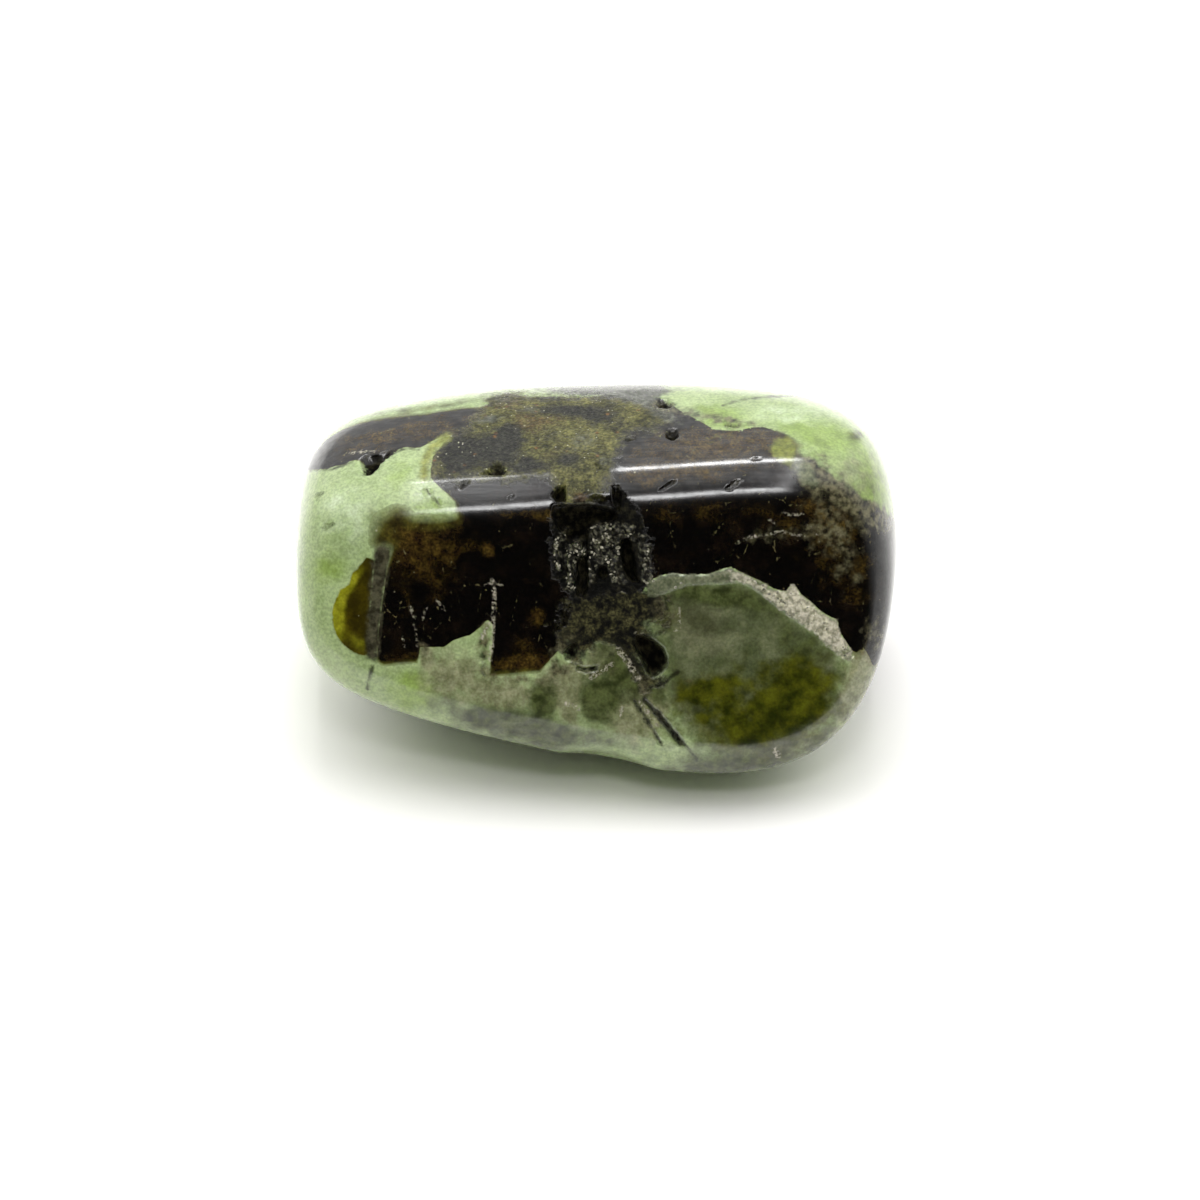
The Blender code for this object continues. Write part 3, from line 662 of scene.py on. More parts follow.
# The lamp over the stone is a frame of four bright strips: middle X and Y,
# length and width in millimetres, and brightness.
LAMP_HEIGHT = 250.0
LAMP_STRIPS = {
    "lamp_front": (0.0, -158.0, 86.0, 40.0, 12.5),
    "lamp_back": (0.0, 130.0, 86.0, 26.0, 21.0),
    "lamp_left": (-40.0, -10.0, 7.0, 240.0, 12.0),
    "lamp_right": (40.0, -10.0, 7.0, 240.0, 12.0),
}
# The tent's brightness at its foot and overhead, as the polish mirrors it and
# as it lights the stone and the floor. Its front opens between two slopes.
TENT_MIRRORED = (0.85, 1.4)
TENT_LIGHTING = (0.56, 2.4)
TENT_OPENING = (0.10, 0.52)
TENT_DARK = 0.02
WHITE = (1, 1, 1, 1)

# The picture's middle is this far right of and below the stone's middle.
STONE_LEFT = 0.175
STONE_ABOVE = 1.1
LENS_LENGTH = 180.0
SENSOR_WIDTH = 36.0
NEAREST_SEEN = 0.01


def facet_normal(bearing, tilt):
    """Outward unit normal of a facet from its bearing and tilt in degrees."""
    b = math.radians(bearing)
    t = math.radians(tilt)
    return np.array([math.sin(b) * math.cos(t), -math.cos(b) * math.cos(t), math.sin(t)])


def worn_surface(directions):
    """Points in millimetres where the worn facets meet each direction, and normals."""
    total = np.zeros(len(directions))
    slope = np.zeros_like(directions)
    for bearing, tilt, distance in FACETS.values():
        normal = facet_normal(bearing, tilt)
        reach = np.clip(directions @ normal, 0.0, None)
        total += (reach / distance) ** EDGE_SHARPNESS
        pull = reach ** (EDGE_SHARPNESS - 1) / distance**EDGE_SHARPNESS
        slope += pull[:, None] * normal
    points = directions * (total ** (-1.0 / EDGE_SHARPNESS))[:, None]
    return points, slope / np.linalg.norm(slope, axis=1, keepdims=True)


def seen_from_eye(points, normals):
    """U, V of each point, and how far its surface turns to the eye, 1 to -1."""
    scale = EYE_DISTANCE / (EYE_DISTANCE + points @ EYE_AWAY)
    to_eye = -EYE_DISTANCE * EYE_AWAY - points
    to_eye /= np.linalg.norm(to_eye, axis=1, keepdims=True)
    facing = (normals * to_eye).sum(axis=1)
    return points[:, 0] * scale, (points @ EYE_UP) * scale, facing


def smooth_step(value, low, high):
    """0 below low, 1 above high, and a smooth rise between them."""
    t = np.clip((value - low) / (high - low), 0.0, 1.0)
    return t * t * (3.0 - 2.0 * t)


def ellipse_reach(u, v, middle, half, turn):
    """How far out each point is in a turned ellipse: 1 on its edge."""
    c = math.cos(math.radians(turn))
    s = math.sin(math.radians(turn))
    du = u - middle[0]
    dv = v - middle[1]
    return np.hypot((du * c + dv * s) / half[0], (dv * c - du * s) / half[1])


def hollow(u, v, middle, half, turn, depth, edge):
    """Depth of an oval hollow whose wall takes the outer share `edge` of it."""
    return depth * (1.0 - smooth_step(ellipse_reach(u, v, middle, half, turn), 1.0 - edge, 1.0))


def off_line(u, v, start, end):
    """Distance from each point to a straight stretch."""
    run = np.subtract(end, start)
    share = ((u - start[0]) * run[0] + (v - start[1]) * run[1]) / (run @ run)
    share = np.clip(share, 0.0, 1.0)
    return np.hypot(u - start[0] - share * run[0], v - start[1] - share * run[1])


def groove(u, v, start, end, width, depth):
    """Depth of a straight groove with round ends."""
    off = off_line(u, v, start, end)
    return depth * (1.0 - smooth_step(off, GROOVE_FLOOR * width, width))


def inside_by(u, v, outline):
    """How far inside an outline each point lies, in millimetres; negative outside."""
    nearest = np.full(len(u), np.inf)
    inside = np.zeros(len(u), dtype=bool)
    for start, end in zip(outline, outline[1:] + outline[:1]):
        nearest = np.minimum(nearest, off_line(u, v, start, end))
        if start[1] == end[1]:
            continue
        crossing_u = start[0] + (v - start[1]) * (end[0] - start[0]) / (end[1] - start[1])
        inside ^= ((start[1] > v) != (end[1] > v)) & (u < crossing_u)
    return np.where(inside, nearest, -nearest)


def inside_any(u, v, outlines):
    """How far inside the nearest of several outlines each point lies."""
    return np.max([inside_by(u, v, outline) for outline in outlines], axis=0)


def on_lines(u, v, lines):
    """How far inside the nearest of several thin marks each point lies."""
    best = np.full(len(u), -np.inf)
    for points, half_width in lines:
        for start, end in zip(points, points[1:]):
            best = np.maximum(best, half_width - off_line(u, v, start, end))
    return best


def patches(u, v, spots):
    """Sum of soft oval patches, 0 where there is none."""
    total = np.zeros(len(u))
    for middle_u, middle_v, half_u, half_v, turn, strength in spots:
        reach = ellipse_reach(u, v, (middle_u, middle_v), (half_u, half_v), turn)
        total += strength * np.exp(-PATCH_FALL * reach**2)
    return total


def noise_field(points, size, start):
    """Smooth noise between about -1 and 1 at points, with lumps of the given size."""
    stretched = np.asarray(points) / np.asarray(size) + start
    return np.array([noise.noise(Vector(p)) for p in stretched])


def near_relief(points, u, v):
    """How far the surface the eye sees lies below the worn shape."""
    depth = hollow(u, v, **DISH)
    depth -= RIM_HEIGHT * smooth_step(inside_by(u, v, OUTLINES["rim"]), *RIM_STEP)
    along_ribs = np.stack([u, v, points[:, 1] * CREVICE_RIBS["slant"]], axis=1)
    ribs = noise_field(along_ribs, CREVICE_RIBS["size"], CREVICE_RIBS["start"])
    depth += hollow(u, v, **CREVICE) * (1.0 + CREVICE_RIBS["height"] * ribs)
    for ridge in RIDGES:
        depth -= groove(u, v, *ridge)
    for outline, pocket_depth, wall in POCKETS.values():
        depth += pocket_depth * smooth_step(inside_by(u, v, outline), POCKET_LIP, wall)
    for nick in NICKS:
        depth += groove(u, v, *nick)
    return depth + hollow(u, v, **KEEL_NOTCH)


def far_relief(u, v):
    """How far the surface turned from the eye lies below the worn shape."""
    depth = hollow(u, v, **FAR_FLAKE)
    depth += groove(u, v, **FAR_CREASE)
    for middle_u, middle_v, radius, pit_depth in FAR_PITS:
        pit = ((middle_u, middle_v), (radius, radius), 0, pit_depth, FAR_PIT_WALL)
        depth += hollow(u, v, *pit)
    return depth


def marks_on(u, v, outlines, lines, spots):
    """What each point of a side is made of, by name."""
    marks = {name: inside_by(u, v, outline) for name, outline in outlines.items()}
    marks.update((name, on_lines(u, v, strokes)) for name, strokes in lines.items())
    marks.update((name, patches(u, v, spots.get(name, ()))) for name in PATCHES)
    return marks


def near_marks(u, v):
    """The marks of the side the eye sees."""
    pockets = inside_any(u, v, [outline for outline, _, _ in POCKETS.values()])
    nicks = on_lines(u, v, [((start, end), width) for start, end, width, _ in NICKS])
    ridges = on_lines(u, v, [((start, end), width) for start, end, width, _ in RIDGES])
    marks = marks_on(u, v, OUTLINES, LINES, PATCHES)
    marks["strip"] += GROWN["strip"]
    marks["small_lens"] = inside_any(u, v, SMALL_LENSES)
    marks["crumbs"] = np.maximum(marks["crumbs"], ridges)
    marks["pocket"] = np.maximum(pockets + GROWN["pocket"], nicks + GROWN["nick"])
    return marks


def far_marks(u, v):
    """The marks of the far side."""
    pits = [radius - np.hypot(u - a, v - b) for a, b, radius, _ in FAR_PITS]
    marks = marks_on(u, v, FAR_OUTLINES, FAR_LINES, FAR_PATCHES)
    marks["pocket"] = np.max(pits, axis=0) - FAR_PIT_EDGE
    return marks


def cube_directions():
    """A mesh of square faces on the unit sphere, crowded towards the eye."""
    bm = bmesh.new()
    bmesh.ops.create_cube(bm, size=2.0)
    bmesh.ops.subdivide_edges(bm, edges=bm.edges[:], cuts=GRID_CUTS, use_grid_fill=True)
    cube = np.array([vertex.co for vertex in bm.verts])
    spread = np.tan(cube * math.pi / 4)
    even = spread / np.linalg.norm(spread, axis=1, keepdims=True)
    leaning = even - DETAIL_LEAN * EYE_AWAY
    return bm, leaning / np.linalg.norm(leaning, axis=1, keepdims=True)


def carved_surface(points, normals, near, u, v):
    """The worn shape with its relief and swell, cut flat where it rests."""
    depth = near * near_relief(points, u, v) + (1.0 - near) * far_relief(u, v)
    swell = SWELL["height"] * noise_field(points, SWELL["size"], SWELL["start"])
    depth -= swell * (1.0 - smooth_step(-normals[:, 2], *UNDERSIDE))
    surface = points - normals * depth[:, None]
    surface[:, 2] = np.maximum(surface[:, 2], surface[:, 2].min() + REST_CUT)
    return surface


def shift_to_frame(surface):
    """How far the surface has to move to stand where the solid stands."""
    low = surface.min(axis=0)
    high = surface.max(axis=0)
    return np.array([
        (CAD_LOW.x + CAD_HIGH.x) / 2 / MM - (low[0] + high[0]) / 2,
        (CAD_LOW.y + CAD_HIGH.y) / 2 / MM - (low[1] + high[1]) / 2,
        CAD_LOW.z / MM - low[2],
    ])


def store(mesh, name, values):
    """Keep one number for each point of a mesh under a name."""
    attribute = mesh.attributes.new(name, "FLOAT", "POINT")
    attribute.data.foreach_set("value", np.asarray(values, dtype=np.float32))


def store_marks(mesh, near, u, v):
    """Keep each mark, and where the ground is grainy or bears crumbs."""
    far = far_marks(u, v)
    marks = near_marks(u, v)
    for name, values in marks.items():
        store(mesh, name, near * values + (1.0 - near) * far.get(name, OUT_OF_REACH))
    sugar = CRUMB_COVER["rim"] + CRUMB_COVER["sugar"] * np.clip(marks["sugar"], 0, 1)
    on_rim = smooth_step(marks["rim"], *RIM_FADE) * sugar
    flat_place = np.stack([u, v, u * 0], axis=1)
    clumps = smooth_step(noise_field(flat_place, CLUMPS["size"], CLUMPS["start"]), *CLUMP_FADE)
    in_crevice = CRUMB_COVER["crevice"] * smooth_step(marks["crumbs"], *CRUMB_FADE)
    in_crevice *= clumps * (marks["pocket"] < 0)
    uneven = GRAININESS["rough"] * smooth_step(marks["rough"], *GRAIN_FADE)
    uneven += GRAININESS["crevice"] * smooth_step(marks["crevice"], *GRAIN_FADE)
    uneven += GRAININESS["vug"] * np.clip(marks["vug"], 0, 1)
    store(mesh, "grainy", near * uneven)
    store(mesh, "crumb_cover", near * np.clip(on_rim + in_crevice, 0, 1))


def worn_stone():
    """The stone's mesh in the frame's place, its marks stored at its points."""
    bm, directions = cube_directions()
    points, normals = worn_surface(directions)
    u, v, facing = seen_from_eye(points, normals)
    near = smooth_step(facing, *SEAM)
    surface = carved_surface(points, normals, near, u, v)
    shift = shift_to_frame(surface)
    for vertex, place in zip(bm.verts, (surface + shift) * MM):
        vertex.co = place
    mesh = bpy.data.meshes.new("stone_surface")
    bm.to_mesh(mesh)
    bm.free()
    store_marks(mesh, near, u, v)
    mesh.shade_smooth()
    return mesh, shift * MM


def put(tree, kind, values=None, **settings):
    """A node with its settings, and its inputs set or linked by name or number."""
    node = tree.nodes.new(kind)
    for name, setting in settings.items():
        setattr(node, name, setting)
    for key, value in (values or {}).items():
        socket = node.inputs[key]
        if isinstance(value, bpy.types.NodeSocket):
            tree.links.new(value, socket)
        else:
            socket.default_value = value
    return node


def step(tree, operation, first, second=0.0):
    """One step of arithmetic in a node tree."""
    return put(tree, "ShaderNodeMath", {0: first, 1: second}, operation=operation).outputs[0]


def grainy_ground(tree, given):
    """The stone with its rough patches raised and sunk, grain by grain."""
    scale = step(tree, "DIVIDE", 1.0, given["Grain Size"])
    values = {"Scale": scale, "Detail": GRAIN["detail"]}
    lumps = put(tree, "ShaderNodeTexNoise", values).outputs["Fac"]
    grainy = put(tree, "GeometryNodeInputNamedAttribute", {"Name": "grainy"}).outputs["Attribute"]
    rise = step(tree, "MULTIPLY", step(tree, "SUBTRACT", lumps, NOISE_MIDDLE), grainy)
    rise = step(tree, "MULTIPLY", rise, given["Grain Height"])
    values = {0: put(tree, "GeometryNodeInputNormal").outputs[0], "Scale": rise}
    offset = put(tree, "ShaderNodeVectorMath", values, operation="SCALE").outputs[0]
    values = {"Geometry": given["Stone"], "Offset": offset}
    return put(tree, "GeometryNodeSetPosition", values).outputs[0]


def standing_crumbs(tree, given, stone):
    """Small crystals on the stone, each turned and stretched its own way."""
    values = {"Name": "crumb_cover"}
    cover = put(tree, "GeometryNodeInputNamedAttribute", values).outputs["Attribute"]
    density = step(tree, "MULTIPLY", given["Crumbs per Area"], cover)
    values = {"Mesh": stone, "Density": density, "Seed": given["Seed"]}
    seats = put(tree, "GeometryNodeDistributePointsOnFaces", values).outputs["Points"]
    drawn = []
    for least, most in (((0, 0, 0), (FULL_TURN, FULL_TURN, FULL_TURN)), CRUMB_STRETCH):
        values = {0: least, 1: most, "Seed": given["Seed"]}
        draw = put(tree, "FunctionNodeRandomValue", values, data_type="FLOAT_VECTOR")
        drawn.append(draw.outputs[0])
    values = {"Radius": given["Crumb Size"], "Subdivisions": 1}
    crumb = put(tree, "GeometryNodeMeshIcoSphere", values).outputs["Mesh"]
    values = {"Points": seats, "Instance": crumb, "Rotation": drawn[0], "Scale": drawn[1]}
    crumbs = put(tree, "GeometryNodeInstanceOnPoints", values).outputs[0]
    return put(tree, "GeometryNodeRealizeInstances", {0: crumbs}).outputs[0]


def new_group(name, kind, inputs, outputs):
    """An empty node group with its named inputs and outputs."""
    group = bpy.data.node_groups.new(name, kind + "NodeTree")
    for way, sockets in (("INPUT", inputs), ("OUTPUT", outputs)):
        for label, socket in sockets.items():
            group.interface.new_socket(label, in_out=way, socket_type="NodeSocket" + socket)
    given = group.nodes.new("NodeGroupInput").outputs
    return group, given, group.nodes.new("NodeGroupOutput").inputs[0]


def grown_tree():
    """Geometry Nodes that roughen the grainy patches and stand crumbs on the stone."""
    inputs = {"Stone": "Geometry"}
    inputs.update(dict.fromkeys(("Grain Height", "Grain Size", "Crumb Size"), "Float"))
    inputs.update({"Crumbs per Area": "Float", "Seed": "Int"})
    inputs.update(dict.fromkeys(("Stone Material", "Crumb Material"), "Material"))
    outputs = {"Grown Stone": "Geometry"}
    tree, given, result = new_group("grain_and_crumbs", "Geometry", inputs, outputs)
    stone = grainy_ground(tree, given)
    crumbs = standing_crumbs(tree, given, stone)
    joined = tree.nodes.new("GeometryNodeJoinGeometry")
    for part, finish in ((crumbs, "Crumb Material"), (stone, "Stone Material")):
        painted = put(tree, "GeometryNodeSetMaterial", {0: part, "Material": given[finish]})
        tree.links.new(painted.outputs[0], joined.inputs[0])
    tree.links.new(joined.outputs[0], result)
    return tree


def make_stone(stone_finish, crumb_finish):
    """The stone as one plain mesh, with its grain and its crumbs on it."""
    surface, shift = worn_stone()
    stone = bpy.data.objects.new("polished_stone", surface)
    bpy.context.scene.collection.objects.link(stone)
    grow = stone.modifiers.new("grain_and_crumbs", "NODES")
    grow.node_group = grown_tree()
    sockets = grow.node_group.interface.items_tree
    for name, value in {
        "Grain Height": GRAIN["height"] * MM,
        "Grain Size": GRAIN["size"] * MM,
        "Crumb Size": CRUMBS["size"] * MM,
        "Crumbs per Area": CRUMBS["per_square_mm"] / MM**2,
        "Seed": CRUMBS["seed"],
        "Stone Material": stone_finish,
        "Crumb Material": crumb_finish,
    }.items():
        grow[sockets[name].identifier] = value
    depsgraph = bpy.context.evaluated_depsgraph_get()
    grown = bpy.data.meshes.new_from_object(stone.evaluated_get(depsgraph))
    stone.modifiers.clear()
    stone.data = grown
    bpy.data.meshes.remove(surface)
    grown.name = "polished_stone"
    return stone, shift


def screen_colour(red, green, blue):
    """A colour as a screen shows it, 0 to 255, as the shader's linear values."""
    linear = []
    for part in (red, green, blue):
        part /= 255.0
        linear.append(part / 12.92 if part <= 0.04045 else ((part + 0.055) / 1.055) ** 2.4)
    return (*linear, 1.0)


def blend(tree, share, under, over, way="MIX"):
    """The colour `over` laid on `under` by a share from 0 to 1."""
    values = {0: share, 6: under, 7: over}
    settings = dict(data_type="RGBA", clamp_factor=True, blend_type=way)
    return put(tree, "ShaderNodeMix", values, **settings).outputs[2]


def ramp(tree, value, low, high, at_low=0.0, at_high=1.0):
    """A smooth rise from one value to another."""
    values = {0: value, 1: low, 2: high, 3: at_low, 4: at_high}
    return put(tree, "ShaderNodeMapRange", values, interpolation_type="SMOOTHSTEP").outputs[0]


def clouds(tree, place, size):
    """Cloudy noise with lumps of a size in millimetres."""
    values = {"Vector": place, "Scale": 1.0 / size, "Detail": CLOUD_DETAIL}
    return put(tree, "ShaderNodeTexNoise", values).outputs["Fac"]


def swing(group, given, amount, gain):
    """Noise round zero, as strong as one of a group's inputs says."""
    lumps = step(group, "SUBTRACT", given["Lumps"], NOISE_MIDDLE)
    return step(group, "MULTIPLY", lumps, step(group, "MULTIPLY", given[amount], gain))


def ragged_edge(group, given):
    """A mask from a distance inside an outline, with a grown, uneven edge."""
    distance = step(group, "ADD", given["Distance"], swing(group, given, "Wander", WANDER_GAIN))
    low = step(group, "MULTIPLY", given["Softness"], -1.0)
    return ramp(group, distance, low, given["Softness"])


def mottle(group, given):
    """Uneven colour between two tints."""
    share = ramp(group, given["Lumps"], given["From"], given["To"])
    return blend(group, share, given["Tint A"], given["Tint B"])


def cloud_patch(group, given):
    """A mask that breaks a soft patch up into clouds."""
    broken = swing(group, given, "Break Up", BREAK_GAIN)
    filled = ramp(group, step(group, "ADD", given["Amount"], broken), *PATCH_FILLS)
    return step(group, "MULTIPLY", filled, ramp(group, given["Amount"], *PATCH_SHOWS))


def flecks(group, given):
    """A mask of small scattered spots, in a share of the cells of a grid."""
    values = {"Vector": given["Place"], "Scale": step(group, "DIVIDE", 1.0, given["Size"])}
    cells = put(group, "ShaderNodeTexVoronoi", values).outputs
    chance = put(group, "ShaderNodeSeparateColor", {0: cells["Color"]}).outputs[0]
    chosen = step(group, "LESS_THAN", chance, given["Share"])
    return step(group, "MULTIPLY", ramp(group, cells["Distance"], given["Reach"], 0.0), chosen)


def shader_groups():
    """The effects that the finishes share, each as a group with named inputs."""
    effects = (
        (ragged_edge, "Float", ("Distance", "Lumps", "Wander", "Softness")),
        (mottle, "Color", ("Lumps", "Tint A", "Tint B", "From", "To")),
        (cloud_patch, "Float", ("Amount", "Lumps", "Break Up")),
        (flecks, "Float", ("Place", "Size", "Share", "Reach")),
    )
    groups = {}
    for effect, output, names in effects:
        inputs = {name: SOCKET_KINDS.get(name, "Float") for name in names}
        group, given, result = new_group(effect.__name__, "Shader", inputs, {"Result": output})
        group.links.new(effect(group, given), result)
        groups[effect.__name__] = group
    return groups


def set_sockets(shader, values):
    """Set a shader's own sockets by name."""
    for name, value in values.items():
        shader.inputs[name].default_value = value


class Finish:
    """One material being painted, layer on layer, in millimetres of the object."""

    def __init__(self, name, groups):
        self.groups = groups
        self.material = bpy.data.materials.new(name)
        self.material.use_nodes = True
        self.tree = self.material.node_tree
        self.shader = self.tree.nodes["Principled BSDF"]
        object_place = put(self.tree, "ShaderNodeTexCoord").outputs["Object"]
        self.place = self.scaled(object_place, (1 / MM, 1 / MM, 1 / MM))
        moved = put(self.tree, "ShaderNodeVectorMath", {0: self.place, 1: EDGE_GROUND})
        self.grounds = {"tint": self.place, "edge": moved.outputs[0]}
        self.drawn = {}

    def link(self, value, socket):
        """Feed one of the shader's sockets."""
        self.tree.links.new(value, self.shader.inputs[socket])

    def scaled(self, place, factors):
        """A place stretched or squeezed along each axis."""
        values = {0: place, 1: factors}
        return put(self.tree, "ShaderNodeVectorMath", values, operation="MULTIPLY").outputs[0]

    def lumps(self, size, ground="tint"):
        """Cloudy noise of one of the named sizes, drawn once for all its uses."""
        if (size, ground) not in self.drawn:
            self.drawn[size, ground] = clouds(self.tree, self.grounds[ground], LUMPS[size])
        return self.drawn[size, ground]

    def group(self, name, values):
        """A shared effect with its own values."""
        return put(self.tree, "ShaderNodeGroup", values, node_tree=self.groups[name]).outputs[0]

    def mark(self, name):
        """The value of one of the stone's stored marks."""
        return put(self.tree, "ShaderNodeAttribute", attribute_name=name).outputs["Fac"]

    def reach(self, name, gain_and_least):
        """A stored mark as a distance."""
        gain, least = gain_and_least
        return step(self.tree, "ADD", self.times(self.mark(name), gain), least)

    def tinted(self, name):
        """The two tints of a finish, mottled."""
        tint_a, tint_b, size, *span = TINTS[name]
        low, high = span or MOTTLE
        tints = {"Tint A": screen_colour(*tint_a), "Tint B": screen_colour(*tint_b)}
        return self.group("mottle", {"Lumps": self.lumps(size), **tints, "From": low, "To": high})

    def edge(self, name, size, wander, softness):
        """The mask of a mark that has an outline."""
        values = {"Lumps": self.lumps(size, "edge"), "Wander": wander, "Softness": softness}
        return self.group("ragged_edge", {"Distance": self.mark(name), **values})

    def mask(self, name):
        """Where a mark covers: inside its frayed outline, or in its clouds."""
        if name in EDGES:
            return self.edge(name, *EDGES[name])
        size, break_up = BREAKS[name]
        values = {"Lumps": self.lumps(size, "edge"), "Break Up": break_up}
        return self.group("cloud_patch", {"Amount": self.mark(name), **values})

    def covered(self, colour, *names):
        """A colour with the named finishes laid over it, each where its mark is."""
        for name in names:
            mask = self.mask(name)
            if name in COVER:
                mask = self.times(mask, COVER[name])
            colour = self.lay(mask, colour, self.tinted(name))
        return colour

    def spotted(self, colour, *names):
        """A colour with scattered spots of the named kinds."""
        for name in names:
            size, share, reach, tint = SPOTS[name]
            values = {"Place": self.place, "Size": size, "Share": share, "Reach": reach}
            colour = self.lay(self.group("flecks", values), colour, screen_colour(*tint))
        return colour

    def broken(self, mask, size):
        """A mask broken up into specks."""
        return self.times(mask, ramp(self.tree, self.lumps(size, "edge"), *SPECKS))

    def cracks(self):
        """The mask of a fine net of cracks that shows here and there."""
        bent = self.scaled(self.place, CRACKS["squeeze"])
        values = {"Vector": bent, "Scale": 1.0 / CRACKS["spacing"]}
        net = put(self.tree, "ShaderNodeTexVoronoi", values, feature="DISTANCE_TO_EDGE")
        uneven = self.times(self.lumps("sand"), CRACKS["uneven"])
        distance = step(self.tree, "ADD", net.outputs["Distance"], uneven)
        line = ramp(self.tree, distance, *CRACKS["line"])
        return self.times(line, ramp(self.tree, self.lumps("bank", "edge"), *CRACKS_SHOW))

    def grained(self, colour, finish):
        """A colour made unevenly darker and lighter, grain by grain."""
        shade = ramp(self.tree, self.lumps("grain"), *SHADE, *SHADES[finish])
        return blend(self.tree, 1.0, colour, shade, "MULTIPLY")

    def lay(self, share, under, over):
        """One colour over another."""
        return blend(self.tree, share, under, over)

    def times(self, first, second):
        """The product of two masks."""
        return step(self.tree, "MULTIPLY", first, second)

    def rest(self, mask):
        """What a mask leaves free."""
        return step(self.tree, "SUBTRACT", 1.0, mask)

    def either(self, *masks):
        """The strongest of several masks."""
        strongest = masks[0]
        for mask in masks[1:]:
            strongest = step(self.tree, "MAXIMUM", strongest, mask)
        return strongest


def prehnite_colour(paint):
    """The pale green host: clouds, pale and grey parts, lenses and olive stains, with painted sheen
    along its edges and painted shade along its underside.
    """
    colour = paint.lay(FINE_SHARE, paint.tinted("prehnite"), paint.tinted("prehnite_fine"))
    colour = paint.covered(colour, *HOST_TONES_AND_PAINTED_LIGHT)
    rust = paint.times(paint.mask("rust"), RUST_IN_HOST)
    return paint.lay(rust, colour, paint.tinted("rust"))


def amphibole_colour(paint):
    """Near-black, brown where light gets in, with a painted haze round the ring highlight and pale
    specks partly painted as glints, and olive along its thin margins.
    """
    colour = paint.covered(paint.tinted("amphibole"), "glow_and_haze")
    colour = paint.spotted(colour, "speck_and_glint")
    colour = paint.lay(paint.cracks(), colour, screen_colour(*CRACK_COLOUR))
    colour = paint.grained(colour, "amphibole")
    margin = paint.reach("margin", MARGIN_DEPTH)
    thickness = ramp(paint.tree, paint.mark("amphibole"), 0.0, margin)
    return paint.lay(paint.rest(thickness), colour, paint.tinted("margin"))


def amphibole_mask(paint):
    """Where the amphibole covers: frayed here and there, thin along its margins."""
    wander = paint.reach("frayed", FRAYED_WANDER)
    inside = paint.edge("amphibole", "crumb", wander, AMPHIBOLE_SOFTNESS)
    margin = paint.reach("margin", VEIL_DEPTH)
    veil = ramp(paint.tree, paint.mark("amphibole"), 0.0, margin, VEIL_LEAST, 1.0)
    return paint.times(inside, veil)


def rough_colour(paint):
    """The unpolished olive-grey ground of the top."""
    colour = paint.lay(ROUGH_FINE_SHARE, paint.tinted("rough"), paint.tinted("rough_fine"))
    colour = paint.covered(colour, "rust", "slate")
    colour = paint.spotted(colour, "dark_speck", "bright_speck", "rust_spot")
    return paint.grained(colour, "rough")


def polished_colour(paint, ground):
    """What the polish shows: both minerals, and what lies in and over them."""
    colour = prehnite_colour(paint)
    colour = paint.lay(amphibole_mask(paint), colour, amphibole_colour(paint))
    colour = paint.covered(colour, "window")
    colour = paint.lay(ground["vug"], colour, paint.grained(paint.tinted("vug"), "vug"))
    wing = paint.covered(paint.tinted("wing"), "bright_wing")
    colour = paint.lay(paint.mask("wing"), colour, wing)
    return paint.covered(colour, "strip", "mixed", "tongue")


def stone_colour(paint, ground):
    """Every colour of the stone, from the host to the specks on top."""
    colour = polished_colour(paint, ground)
    colour = paint.lay(ground["rough"], colour, rough_colour(paint))
    colour = paint.covered(colour, "lilac", "olive_vein")
    colour = paint.lay(ground["crevice"], colour, paint.tinted("crevice"))
    colour = paint.lay(ground["crumbs"], colour, paint.tinted("crumbs"))
    rim = paint.covered(paint.tinted("rim"), "sugar")
    colour = paint.lay(ground["rim"], colour, rim)
    pale_vein = paint.broken(paint.mask("pale_vein"), "grain")
    colour = paint.lay(pale_vein, colour, paint.tinted("pale_vein"))
    dark_line = paint.times(paint.mask("dark_line"), COVER["dark_line"])
    colour = paint.lay(dark_line, colour, screen_colour(*LINE_COLOUR))
    colour = paint.spotted(colour, "fleck")
    # Pockets, nicks and pits painted dark: partly their own colour, partly painted shade in the
    # hollows.
    colour = paint.lay(ground["pocket"], colour, paint.tinted("pocket"))
    return paint.grained(colour, "stone")


def stone_roughness(paint, ground):
    """Smooth where polished, dull where brushed, rough or broken."""
    broken = paint.either(ground["crevice"], ground["rim"], ground["vug"])
    return paint.either(
        paint.times(ground["rough"], ROUGHNESS["rough"]),
        paint.times(broken, ROUGHNESS["broken"]),
        paint.times(ground["pocket"], ROUGHNESS["hole"]),
        paint.times(paint.mark("brushed"), ROUGHNESS["brushed"]),
        ROUGHNESS["polished"],
    )


def stone_polish(paint, ground):
    """The shine on top: worn and streaked, and none on unpolished ground."""
    dull = paint.either(*(ground[kind] for kind in DULL_GROUND))
    worn = ramp(paint.tree, paint.lumps("patch", "edge"), *WORN, *POLISH)
    polish = paint.times(paint.either(worn, paint.mark("brushed")), paint.rest(dull))
    streaks = clouds(paint.tree, paint.scaled(paint.place, STREAKS["squeeze"]), STREAKS["width"])
    streaks = ramp(paint.tree, streaks, *STREAK_SPAN, STREAKS["least"], 1.0)
    dimmed = paint.times(paint.mark("dimmed"), DIMMING)
    return paint.times(paint.times(polish, streaks), paint.rest(dimmed))


def light_trap(paint, ground):
    """Where light gets lost: broken ground and pockets, but not their crumbs."""
    broken = paint.times(paint.either(ground["crevice"], ground["vug"]), LIGHT_TRAP["broken"])
    trap = paint.either(paint.times(ground["pocket"], LIGHT_TRAP["pocket"]), broken)
    return paint.times(trap, paint.rest(ground["crumbs"]))


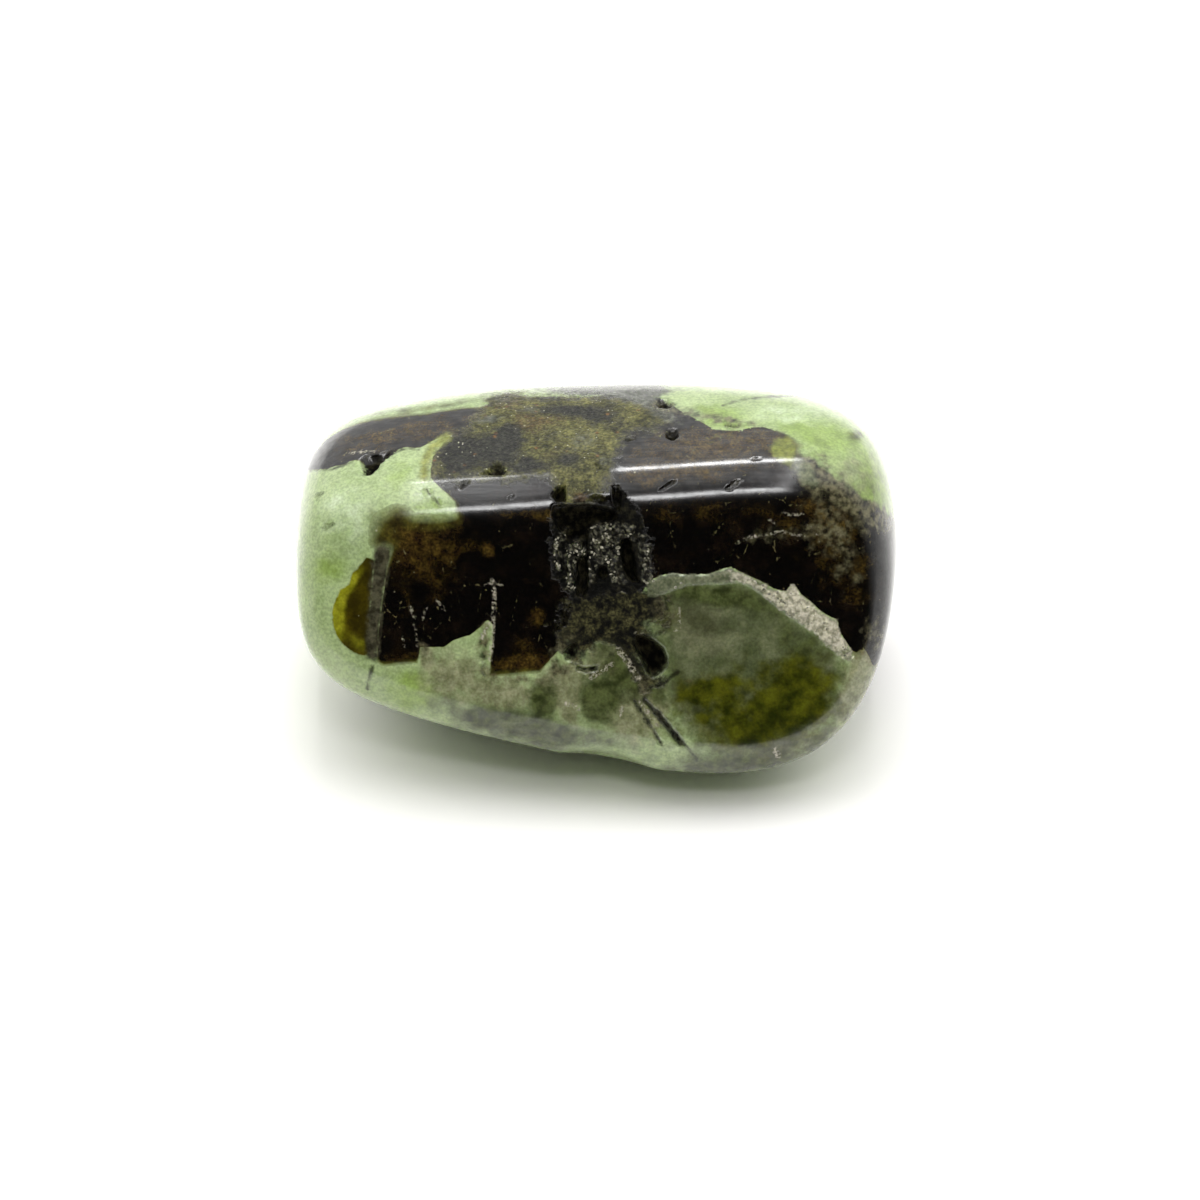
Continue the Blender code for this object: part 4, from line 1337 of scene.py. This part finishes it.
def stone_bump(paint, ground):
    """Crystal grain on broken ground, and fine pores everywhere."""
    rim = paint.times(ground["rim"], BUMP["rim"])
    broken = paint.either(ground["rough"], ground["crevice"], rim, ground["vug"])
    crumbs = paint.times(paint.times(paint.lumps("grain"), BUMP["crumbs"]), broken)
    pores = paint.times(paint.lumps("crumb"), BUMP["pores"])
    values = {"Height": step(paint.tree, "ADD", crumbs, pores), "Distance": MM}
    return put(paint.tree, "ShaderNodeBump", values).outputs["Normal"]


def stone_finish(groups):
    """Polished prehnite and amphibole, with what the tumbler left rough."""
    paint = Finish("prehnite_and_amphibole", groups)
    ground = {kind: paint.mask(kind) for kind in DULL_GROUND}
    ground["crumbs"] = paint.broken(paint.mask("crumbs"), "sand")
    paint.link(stone_colour(paint, ground), "Base Color")
    paint.link(stone_roughness(paint, ground), "Roughness")
    paint.link(stone_polish(paint, ground), "Coat Weight")
    paint.link(light_trap(paint, ground), "Metallic")
    paint.link(stone_bump(paint, ground), "Normal")
    paint.shader.subsurface_method = "BURLEY"
    set_sockets(paint.shader, STONE_SHADER)
    return paint.material


def crumb_finish(groups):
    """Sugary crystal crumbs, pale with dark ones among them."""
    paint = Finish("crystal_crumbs", groups)
    pale = ramp(paint.tree, paint.lumps("patch"), *DIM_CRYSTALS)
    colour = paint.lay(pale, paint.tinted("dim_crystal"), paint.tinted("crystal"))
    paint.link(colour, "Base Color")
    set_sockets(paint.shader, CRUMB_SHADER)
    return paint.material


def make_floor():
    """A plain white surface under the stone."""
    bpy.ops.mesh.primitive_plane_add(size=FLOOR_SIZE)
    floor = bpy.context.object
    floor.name = "white_surface"
    material = bpy.data.materials.new("matt_white")
    material.use_nodes = True
    set_sockets(material.node_tree.nodes["Principled BSDF"], FLOOR_SHADER)
    floor.data.materials.append(material)


def make_world():
    """A white tent round the stone, open and dark in front."""
    world = bpy.data.worlds.new("studio")
    bpy.context.scene.world = world
    world.use_nodes = True
    # The tent is so even that rays which bounce off the stone find it unaided.
    world.cycles.sampling_method = "NONE"
    tree = world.node_tree
    tree.nodes.clear()
    way = put(tree, "ShaderNodeTexCoord").outputs["Generated"]
    parts = put(tree, "ShaderNodeSeparateXYZ", {0: way}).outputs
    forward = step(tree, "MULTIPLY", parts["Y"], -1.0)
    opening = ramp(tree, forward, *TENT_OPENING, 1.0, TENT_DARK)
    rays = put(tree, "ShaderNodeLightPath").outputs
    mirrored = ramp(tree, parts["Z"], 0.0, 1.0, *TENT_MIRRORED)
    lighting = ramp(tree, parts["Z"], 0.0, 1.0, *TENT_LIGHTING)
    wall = put(tree, "ShaderNodeMix", {0: rays["Is Glossy Ray"], 2: lighting, 3: mirrored})
    strength = step(tree, "MULTIPLY", opening, wall.outputs[0])
    tent = put(tree, "ShaderNodeBackground", {"Color": WHITE, "Strength": strength})
    backdrop = put(tree, "ShaderNodeBackground", {"Color": WHITE, "Strength": 1.0})
    values = {0: rays["Is Camera Ray"], 1: tent.outputs[0], 2: backdrop.outputs[0]}
    both = put(tree, "ShaderNodeMixShader", values)
    put(tree, "ShaderNodeOutputWorld", {"Surface": both.outputs[0]})


def make_lamp(middle):
    """The frame of strips that shows as a ring of light on the shoulder."""
    for name, (x, y, wide, deep, brightness) in LAMP_STRIPS.items():
        light = bpy.data.lights.new(name, "AREA")
        light.shape = "RECTANGLE"
        light.size = wide * MM
        light.size_y = deep * MM
        light.energy = brightness * math.pi * light.size * light.size_y
        lamp = bpy.data.objects.new(name, light)
        lamp.location = middle + Vector((x, y, LAMP_HEIGHT)) * MM
        bpy.context.scene.collection.objects.link(lamp)


def make_camera(middle):
    """The photograph's view: 40 degrees above the front, through a long lens."""
    camera = bpy.data.objects.new("camera", bpy.data.cameras.new("camera"))
    bpy.context.scene.collection.objects.link(camera)
    camera.data.lens = LENS_LENGTH
    camera.data.sensor_width = SENSOR_WIDTH
    camera.data.clip_start = NEAREST_SEEN
    away = Vector(EYE_AWAY)
    up = Vector(EYE_UP)
    right = Vector((1, 0, 0))
    target = middle + (right * STONE_LEFT - up * STONE_ABOVE) * MM
    axes = Matrix((right, up, -away)).transposed().to_4x4()
    camera.matrix_world = Matrix.Translation(target - away * EYE_DISTANCE * MM) @ axes
    bpy.context.scene.camera = camera


def main():
    groups = shader_groups()
    stone, shift = make_stone(stone_finish(groups), crumb_finish(groups))
    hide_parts(NODE)
    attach(stone, "root")

    middle = Vector(shift)
    make_floor()
    make_world()
    make_lamp(middle)
    make_camera(middle)
    bpy.context.scene.view_settings.view_transform = "Standard"


main()
